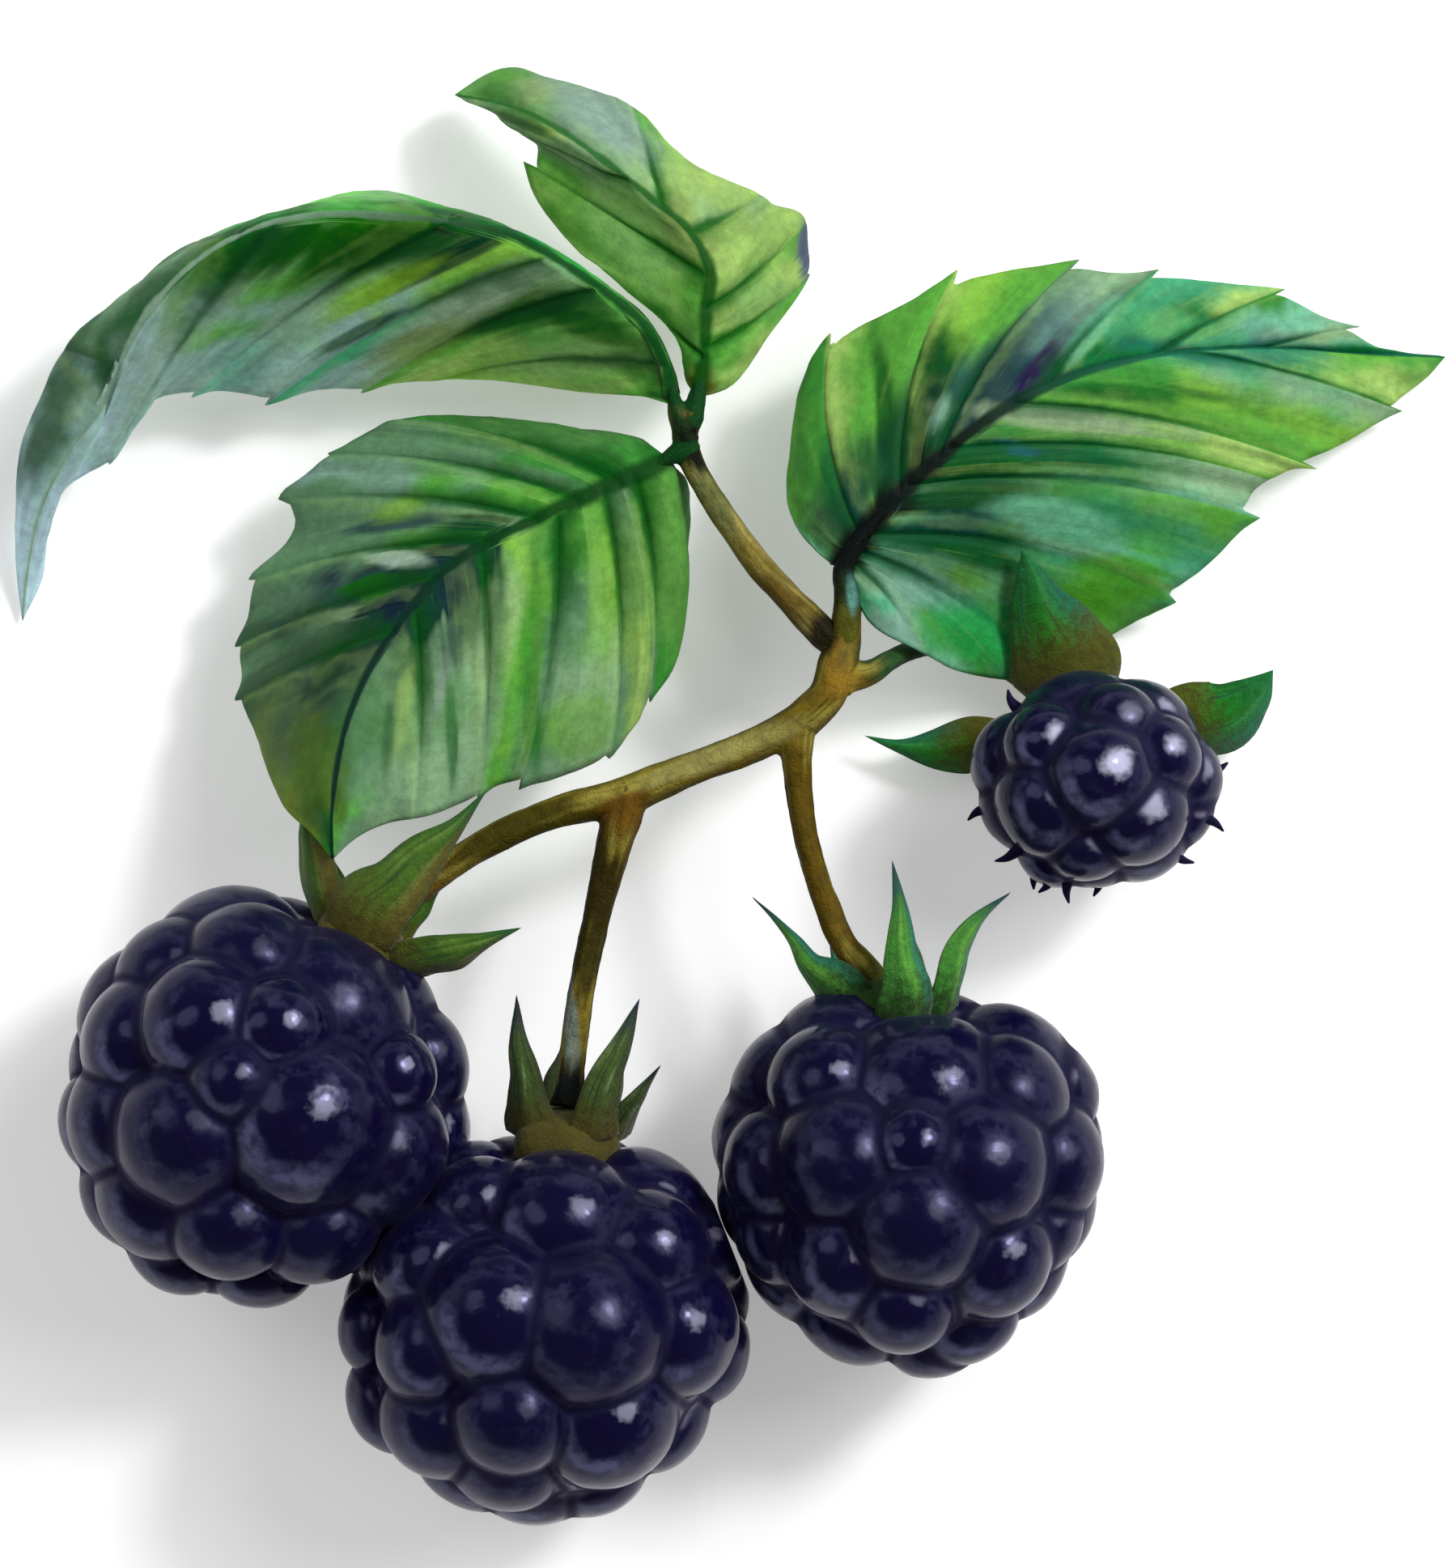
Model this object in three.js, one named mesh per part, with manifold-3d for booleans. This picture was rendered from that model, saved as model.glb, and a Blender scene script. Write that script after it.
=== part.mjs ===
// A bramble sprig: a cut stem with four fruit stalks, a leaf of three leaflets, a single leaf and four ripe
// berries, lying on a flat surface. Millimetres, +Z up. z = 0 is the surface that the sprig lies on, and the
// origin is on it, under the middle of the sprig.
import * as THREE from "three";
import { mergeVertices } from "three/addons/utils/BufferGeometryUtils.js";
import Module from "manifold-3d";

const wasm = await Module();
wasm.setup();

// Driving dimensions, in millimetres.
const LEAF_THICKNESS = 0.6; // at the midrib
const MARGIN_THICKNESS = 0.3;
const SEPAL_THICKNESS = 0.5;
const TOOTH_HEIGHT = 0.9; // of a leaf margin's tooth
const TOOTH_LEAN = 0.1; // towards the leaf's tip
const LEAF_ROW_STEP = 0.055; // share of the midrib between two rows of a leaf
const CLOSEST_ROWS = 0.008; // share of the midrib
const LEAF_COLUMNS = 3; // on each half of a leaf
const MOST_EASE = 0.9; // of the rows towards a leaf's tip
const NOTCH_STEP = 0.02; // share of the midrib from a tooth's tip to the notch after it
const TUBE_SIDES = 8;
const TUBE_STEP = 1.6; // between two rings of a stem or stalk
const STEPS_BETWEEN_POINTS = 20; // for measuring how far along a stem each of its points lies
const BERRY_DETAIL = 10; // subdivisions of a berry's sphere
const CONTACT_GAP = 0.3; // between two berries that touch
const CUP_THICKNESS = 1.2;
const CUP_SIDES = 20;
const SEPAL_ROWS = 7;
const SEPAL_CUPPING = 0.25; // how far its margins bend in, as a share of its half-width
const SEPAL_UPTURN = 1.2; // how far a sepal at the side of a lying berry turns its flat side up or down
const LOWER_SEPAL = 0.3; // sine of the angle below the side from which a sepal turns down instead
const LARGE_BERRY_RADIUS = 13;
const CORE_SHARE = 0.8; // of a berry's reach, where no drupelet reaches further
const OUTLINE_STEP = Math.PI / 6; // between two of the sideways reaches in a berry's outline
const LISTED_GROWTH = 1.25; // a drupelet's own radius, as a share of the radius that shows
const LARGEST_FILLING = 3.5; // drupelet radius on a large berry
const SMALLEST_FILLING = 2.35;
const FILLING_PLACES = 1600; // tried on a berry
const FILLING_OVERLAP = 0.66; // distance between two drupelets, as a share of their radii together
const FILLING_SINK = 0.6; // how much deeper a filling drupelet sits for each mm that it is smaller
const GOLDEN_ANGLE = Math.PI * (3 - Math.sqrt(5));
const CALYX_CLEAR = Math.cos(THREE.MathUtils.degToRad(27)); // no drupelet grows nearer a berry's axis
const CALYX_MARGIN = 1.4; // past the calyx's disc, where the berry stays below it

// Finishes.
const FINISH = {
  bark: new THREE.MeshStandardMaterial({ color: 0x7a7334, roughness: 0.65, metalness: 0 }),
  stalk: new THREE.MeshStandardMaterial({ color: 0x788044, roughness: 0.6, metalness: 0 }),
  leaf: new THREE.MeshStandardMaterial({ color: 0x55904c, roughness: 0.55, metalness: 0 }),
  sepal: new THREE.MeshStandardMaterial({ color: 0x456e34, roughness: 0.7, metalness: 0 }),
  fruit: new THREE.MeshStandardMaterial({ color: 0x171332, roughness: 0.25, metalness: 0 }),
};

const vector = (p) => new THREE.Vector3(p[0], p[1], p[2]);
const curveThrough = (points) => new THREE.CatmullRomCurve3(points.map(vector));
const lerp = THREE.MathUtils.lerp;
const clamp = THREE.MathUtils.clamp;

function mergedByPlace(geometry) {
  geometry.deleteAttribute("normal");
  geometry.deleteAttribute("uv");
  return mergeVertices(geometry, 1e-4);
}

function geometryOf(points, triangles) {
  const geometry = new THREE.BufferGeometry();
  geometry.setAttribute("position", new THREE.Float32BufferAttribute(points.flatMap((p) => p.toArray()), 3));
  geometry.setIndex(triangles);
  return geometry;
}

// A round stem along a curve. Each point is [x, y, z, radius], and the radius runs smoothly between them.
function taperedTube(points) {
  const curve = curveThrough(points);
  const steps = Math.max(3, Math.round(curve.getLength() / TUBE_STEP));
  const frames = curve.computeFrenetFrames(steps);
  const lengths = curve.getLengths((points.length - 1) * STEPS_BETWEEN_POINTS);
  const marks = points.map((_, i) => lengths[i * STEPS_BETWEEN_POINTS] / lengths.at(-1));
  const radiusAt = (t) => {
    const next = Math.max(1, marks.findIndex((mark) => mark >= t - 1e-9));
    const share = (t - marks[next - 1]) / (marks[next] - marks[next - 1]);
    return lerp(points[next - 1][3], points[next][3], share);
  };
  const rings = [];
  for (let i = 0; i <= steps; i++) {
    const centre = curve.getPointAt(i / steps);
    const radius = radiusAt(i / steps);
    for (let k = 0; k < TUBE_SIDES; k++) {
      const turn = (2 * Math.PI * k) / TUBE_SIDES;
      rings.push(
        centre
          .clone()
          .addScaledVector(frames.normals[i], radius * Math.cos(turn))
          .addScaledVector(frames.binormals[i], radius * Math.sin(turn)),
      );
    }
  }
  const triangles = [];
  for (let i = 0; i < steps; i++)
    for (let k = 0; k < TUBE_SIDES; k++) {
      const a = i * TUBE_SIDES + k;
      const b = i * TUBE_SIDES + ((k + 1) % TUBE_SIDES);
      triangles.push(a, b, b + TUBE_SIDES, a, b + TUBE_SIDES, a + TUBE_SIDES);
    }
  const last = steps * TUBE_SIDES;
  for (let k = 1; k < TUBE_SIDES - 1; k++) {
    triangles.push(0, k + 1, k);
    triangles.push(last, last + k, last + k + 1);
  }
  return geometryOf(rings, triangles);
}

function solidOf(geometry) {
  const shape = new wasm.Mesh({
    numProp: 3,
    vertProperties: geometry.attributes.position.array,
    triVerts: new Uint32Array(geometry.index.array),
  });
  return new wasm.Manifold(shape);
}

// Joins closed shapes that grow out of each other into one.
function joined(geometries) {
  const solid = geometries.map(solidOf).reduce((sum, next) => sum.add(next));
  const mesh = solid.getMesh();
  const geometry = new THREE.BufferGeometry();
  geometry.setAttribute("position", new THREE.Float32BufferAttribute(mesh.vertProperties, mesh.numProp));
  geometry.setIndex(Array.from(mesh.triVerts));
  return geometry;
}

// The direction each point faces: the mean of its triangles' directions, each by its angle at the point.
function vertexNormals(points, triangles) {
  const normals = points.map(() => new THREE.Vector3());
  for (let k = 0; k < triangles.length; k += 3)
    for (let corner = 0; corner < 3; corner++) {
      const [a, b, c] = [0, 1, 2].map((i) => triangles[k + ((corner + i) % 3)]);
      const ahead = points[b].clone().sub(points[a]);
      const behind = points[c].clone().sub(points[a]);
      const facing = ahead.clone().cross(behind).normalize();
      normals[a].addScaledVector(facing, ahead.angleTo(behind));
    }
  return normals.map((normal) => normal.normalize());
}

// A closed thin solid on both sides of a sheet of points. The sheet's rows run from base to tip, and each
// from the left margin to the right. The first and last row may be a single point. It is as thick as
// marginThickness at those points and at both margins.
function thickened(rows, thickness, marginThickness) {
  const starts = [];
  const sheet = [];
  const reach = [];
  for (const row of rows) {
    starts.push(sheet.length);
    sheet.push(...row);
    row.forEach((_, j) => reach.push((j % (row.length - 1 || 1) === 0 ? marginThickness : thickness) / 2));
  }
  const at = (i, j) => starts[i] + (rows[i].length === 1 ? 0 : j);
  const columns = Math.max(...rows.map((row) => row.length)) - 1;
  const upper = [];
  for (let i = 0; i < rows.length - 1; i++)
    for (let j = 0; j < columns; j++) {
      if (rows[i].length > 1) upper.push(at(i, j), at(i, j + 1), at(i + 1, j + 1));
      if (rows[i + 1].length > 1) upper.push(at(i, j), at(i + 1, j + 1), at(i + 1, j));
    }
  const normals = vertexNormals(sheet, upper);
  const points = [1, -1].flatMap((side) =>
    sheet.map((p, k) => p.clone().addScaledVector(normals[k], side * reach[k])),
  );
  const triangles = [...upper];
  for (let k = 0; k < upper.length; k += 3)
    triangles.push(upper[k] + sheet.length, upper[k + 2] + sheet.length, upper[k + 1] + sheet.length);
  const tip = rows.length - 1;
  const rim = [];
  for (let j = 0; j < columns; j++) rim.push(at(0, j));
  for (let i = 0; i < tip; i++) rim.push(at(i, columns));
  for (let j = columns; j > 0; j--) rim.push(at(tip, j));
  for (let i = tip; i > 0; i--) rim.push(at(i, 0));
  rim.forEach((a, k) => {
    const b = rim[(k + 1) % rim.length];
    if (a !== b) triangles.push(a + sheet.length, b + sheet.length, b, a + sheet.length, b, a);
  });
  return geometryOf(points, triangles);
}

// One half of a leaf: how the rows of points run from the midrib out to the margin, along the side veins.
// veins pairs the share of the midrib where a side vein starts with the share of the margin at its tooth.
// Past the last tooth the rows ease towards the tip, so that they reach it evenly from both sides.
function leafHalf({ margin, veins, sweep }, turn, ribLength) {
  const edge = curveThrough(margin);
  const marks = [[0, 0], ...veins, [1, 1]];
  const last = veins.at(-1);
  const ribLeft = (1 - last[0]) * ribLength;
  const marginLeft = (1 - last[1]) * edge.getLength();
  const ease = clamp(ribLeft / marginLeft - 1, 0, MOST_EASE);
  const marginShare = (u) => {
    const next = Math.max(1, marks.findIndex((mark) => mark[0] >= u - 1e-9));
    const [a, b] = [marks[next - 1], marks[next]];
    const t = (u - a[0]) / (b[0] - a[0]);
    return lerp(a[1], b[1], next < marks.length - 1 ? t : t * (1 - ease) + t * t * ease);
  };
  const toothShare = (u) => {
    const next = veins.findIndex((vein) => vein[0] >= u - 1e-9);
    if (next < 0) return 0;
    const start = next > 0 ? veins[next - 1][0] + NOTCH_STEP : 0;
    return clamp((u - start) / (veins[next][0] - start), 0, 1) ** 2;
  };
  return (u, root) => {
    const share = marginShare(u);
    const along = edge.getTangentAt(share);
    const outward = new THREE.Vector3(-along.y, along.x, 0).normalize().multiplyScalar(turn);
    const end = edge.getPointAt(share);
    end.addScaledVector(outward, TOOTH_HEIGHT * toothShare(u));
    end.addScaledVector(along, TOOTH_LEAN * toothShare(u));
    const chord = end.clone().sub(root);
    const forward = new THREE.Vector3(chord.y, -chord.x, 0).multiplyScalar(turn * sweep * (1 - u));
    const bend = root.clone().add(end).multiplyScalar(0.5).add(forward);
    return new THREE.QuadraticBezierCurve3(root, bend, end);
  };
}

function leafGeometry({ midrib, left, right }) {
  const rib = curveThrough(midrib);
  const ribLength = rib.getLength();
  const halves = [leafHalf(left, 1, ribLength), leafHalf(right, -1, ribLength)];
  const marks = [0, 1];
  for (const vein of [...left.veins, ...right.veins]) marks.push(vein[0], vein[0] + NOTCH_STEP);
  marks.sort((a, b) => a - b);
  const shares = [];
  let from = 0;
  for (const mark of marks) {
    if (mark - from < CLOSEST_ROWS) continue;
    const parts = Math.ceil((mark - from) / LEAF_ROW_STEP);
    for (let k = 1; k <= parts; k++) shares.push(lerp(from, mark, k / parts));
    from = mark;
  }
  const rows = [[rib.getPointAt(0)]];
  for (const u of shares) {
    if (u > 1 - 1e-6) break;
    const root = rib.getPointAt(u);
    const [toLeft, toRight] = halves.map((half) => half(u, root));
    const row = [];
    for (let k = LEAF_COLUMNS; k > 0; k--) row.push(toLeft.getPoint(k / LEAF_COLUMNS));
    for (let k = 0; k <= LEAF_COLUMNS; k++) row.push(toRight.getPoint(k / LEAF_COLUMNS));
    rows.push(row);
  }
  rows.push([rib.getPointAt(1)]);
  return thickened(rows, LEAF_THICKNESS, MARGIN_THICKNESS);
}

// A sepal: a thin blade along a curve. Each point is [x, y, z, half-width], the last one its sharp tip.
// Its flat side faces axis, the line from its berry to the stalk, and its margins bend in towards that line.
function sepalGeometry(points, hub, axis) {
  const curve = curveThrough(points);
  const rows = [];
  for (let i = 0; i <= SEPAL_ROWS; i++) {
    const u = i / SEPAL_ROWS;
    const centre = curve.getPoint(u);
    const place = u * (points.length - 1);
    const from = Math.min(Math.floor(place), points.length - 2);
    const halfWidth = lerp(points[from][3], points[from + 1][3], place - from);
    if (i === SEPAL_ROWS) {
      rows.push([centre]);
      break;
    }
    const along = curve.getTangent(u);
    const outward = centre.clone().sub(hub);
    outward.addScaledVector(axis, -outward.dot(axis)).normalize();
    outward.z += outward.z > -LOWER_SEPAL ? SEPAL_UPTURN : -SEPAL_UPTURN;
    const side = axis.clone().cross(outward);
    side.addScaledVector(along, -side.dot(along)).normalize();
    const cupped = along.clone().cross(side).multiplyScalar(SEPAL_CUPPING * halfWidth);
    rows.push([
      centre.clone().addScaledVector(side, -halfWidth).add(cupped),
      centre,
      centre.clone().addScaledVector(side, halfWidth).add(cupped),
    ]);
  }
  return thickened(rows, SEPAL_THICKNESS, MARGIN_THICKNESS);
}

// The disc that a stalk ends in, with its back domed towards the stalk.
function cupGeometry(radius, hub, axis) {
  const profile = [
    [0, 0],
    [radius, 0],
    [radius, 0.35 * CUP_THICKNESS],
    [0.55 * radius, 0.8 * CUP_THICKNESS],
    [0, CUP_THICKNESS],
  ].map(([x, y]) => new THREE.Vector2(x, y));
  const cup = mergedByPlace(new THREE.LatheGeometry(profile, CUP_SIDES));
  const turn = new THREE.Quaternion().setFromUnitVectors(new THREE.Vector3(0, 1, 0), axis);
  return cup.applyQuaternion(turn).translate(hub.x, hub.y, hub.z);
}

// How far a berry reaches from its centre in a direction. Its outline holds its reach sideways, from +X on.
function reachOf({ radius, outline }, way) {
  const turn = THREE.MathUtils.euclideanModulo(Math.atan2(way.y, way.x) / OUTLINE_STEP, outline.length);
  const before = Math.floor(turn) % outline.length;
  const side = THREE.MathUtils.lerp(outline[before], outline[(before + 1) % outline.length], turn % 1);
  return 1 / Math.hypot(way.x / side, way.y / side, way.z / radius);
}

// A berry's drupelets: the place of each from the berry's centre, and its radius. Those listed are on its
// upper side, by their place seen from above. One lies lowest, and the rest fill the gaps, widest gap first.
function drupeletsOf(berry) {
  const { radius, listed, axis } = berry;
  const scale = radius / LARGE_BERRY_RADIUS;
  const largest = LARGEST_FILLING * scale;
  const drupelets = listed.map(([x, y, shown]) => {
    const size = shown * LISTED_GROWTH;
    const place = new THREE.Vector3(x, y, 0);
    const side = reachOf(berry, place.clone().normalize()) - shown;
    const share = Math.min(place.length() / side, 1);
    place.setLength(share * side).setZ((radius - shown) * Math.sqrt(1 - share * share));
    return { place: place.setLength(place.length() - (size - shown)), size };
  });
  const lowest = new THREE.Vector3(0, 0, largest - radius);
  if (-axis.z < CALYX_CLEAR) drupelets.push({ place: lowest, size: largest });
  const spots = [];
  for (let k = 0; k < FILLING_PLACES; k++) {
    const height = (2 * k + 1) / FILLING_PLACES - 1;
    const turn = k * GOLDEN_ANGLE;
    const round = Math.sqrt(1 - height * height);
    const way = new THREE.Vector3(round * Math.cos(turn), round * Math.sin(turn), height);
    if (way.dot(axis) > CALYX_CLEAR) continue;
    const reach = reachOf(berry, way);
    spots.push({ way, reach, middle: way.clone().setLength(reach - largest) });
  }
  const room = (spot) =>
    Math.min(...drupelets.map((d) => d.place.distanceTo(spot.middle) / FILLING_OVERLAP - d.size));
  for (;;) {
    for (const spot of spots) spot.room = room(spot);
    const widest = spots.reduce((best, spot) => (spot.room > best.room ? spot : best));
    if (widest.room < SMALLEST_FILLING * scale) return drupelets;
    const size = Math.min(widest.room, largest);
    const depth = size + FILLING_SINK * (largest - size);
    drupelets.push({ place: widest.way.clone().setLength(widest.reach - depth), size });
  }
}

// A berry: the outer surface of all its drupelets, pressed flat where it meets the surface it lies on, a
// neighbouring berry or its own calyx.
function berryGeometry(berry) {
  const { centre, radius, hub, axis, cupRadius, contacts } = berry;
  const reach = hub.clone().sub(centre).dot(axis) - CONTACT_GAP;
  const drupelets = drupeletsOf(berry);
  const pad = { place: axis.clone().multiplyScalar(reach - cupRadius), size: cupRadius };
  const bumps = [...drupelets, pad];
  const flats = [{ normal: new THREE.Vector3(0, 0, -1), reach: centre.z }, ...contacts];
  const geometry = mergedByPlace(new THREE.IcosahedronGeometry(1, BERRY_DETAIL));
  const position = geometry.getAttribute("position");
  for (let i = 0; i < position.count; i++) {
    const way = new THREE.Vector3().fromBufferAttribute(position, i).normalize();
    let out = CORE_SHARE * reachOf(berry, way);
    for (const bump of bumps) {
      const along = way.dot(bump.place);
      const inside = bump.size ** 2 - bump.place.lengthSq() + along * along;
      if (along > 0 && inside > 0) out = Math.max(out, along + Math.sqrt(inside));
    }
    for (const flat of flats) {
      const facing = way.dot(flat.normal);
      if (facing > 0) out = Math.min(out, flat.reach / facing);
    }
    const rise = way.dot(axis);
    const aside = out * Math.sqrt(1 - rise * rise);
    if (rise > 0 && aside < cupRadius + CALYX_MARGIN) out = Math.min(out, reach / rise);
    way.multiplyScalar(out).add(centre);
    position.setXYZ(i, way.x, way.y, way.z);
  }
  return geometry;
}

// Stem and stalks: [x, y, z, radius].
const MAIN_STEM = [
  [9.6, 17.6, 7.8, 1],
  [8.3, 15.4, 8.8, 1],
  [7.4, 13.2, 10.2, 0.95],
  [7.2, 11.2, 11.5, 0.9],
  [7, 9.4, 12.3, 1.1],
  [6.6, 7.8, 12.6, 1.2],
  [6.1, 6.1, 12.6, 1.2],
  [4.2, 4.3, 12.5, 1.25],
  [1.3, 2.8, 12.4, 1.1],
  [-2.1, 1.5, 12.2, 1.05],
  [-6.4, -0.2, 12, 1.2],
  [-10.7, -1.3, 12, 1],
  [-14.2, -2.7, 12, 0.95],
  [-17.1, -4.4, 12, 0.95],
  [-19.4, -6, 12, 0.95],
  [-21.6, -7.6, 12.1, 1],
];
const STALK_MIDDLE = [
  [-6.4, -0.2, 12, 1.3],
  [-7.1, -2.9, 12, 1.15],
  [-7.9, -6.1, 12, 0.95],
  [-8.8, -10.1, 12, 0.85],
  [-9.5, -14.1, 12, 0.85],
  [-9.9, -17.6, 12, 0.9],
  [-10.1, -19.5, 12, 1.2],
];
const STALK_RIGHT = [
  [4.1, 4.1, 12.5, 1.25],
  [4.1, 1.4, 12.5, 0.9],
  [4.6, -2.6, 12.4, 0.8],
  [5.6, -6.1, 12.2, 0.8],
  [7.1, -9.6, 12, 0.85],
  [8.4, -11.2, 11.8, 1.1],
];
const STALK_SMALL = [
  [6.9, 7, 12.4, 1.1],
  [8.5, 7.3, 11.2, 0.8],
  [10, 8.2, 8.9, 0.65],
  [12, 9, 6.2, 0.65],
  [14.6, 9, 3.6, 0.65],
  [17.7, 7.5, 1.6, 0.65],
  [20.5, 5, 0.85, 0.65],
  [22.2, 2.4, 0.85, 0.7],
];
const LEAF_STALK = [
  [4.6, 10.9, 12.3, 0.95],
  [3.4, 12.1, 12.3, 0.85],
  [1.8, 13.9, 12.2, 0.85],
  [-0.1, 16.5, 12, 0.8],
  [-1.7, 18.9, 11.9, 0.75],
  [-2.6, 20.8, 11.9, 0.8],
  [-2.8, 22.1, 12, 0.85],
  [-2.4, 23.2, 12.1, 0.75],
];
const LEFT_LEAFLET_STALK = [
  [-2.8, 21.8, 12, 0.8],
  [-3, 22.6, 12.1, 0.7],
  [-3.2, 23.1, 12.1, 0.65],
];
const LOWER_LEAFLET_STALK = [
  [-2.7, 21.2, 12, 0.75],
  [-3.1, 21.1, 12.1, 0.65],
  [-3.4, 21, 12.2, 0.6],
];
const RIGHT_LEAF_STALK = [
  [7.3, 11.7, 13.4, 0.75],
  [7.1, 12.4, 13.2, 0.7],
  [6.8, 13.2, 12.8, 0.65],
];

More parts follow.
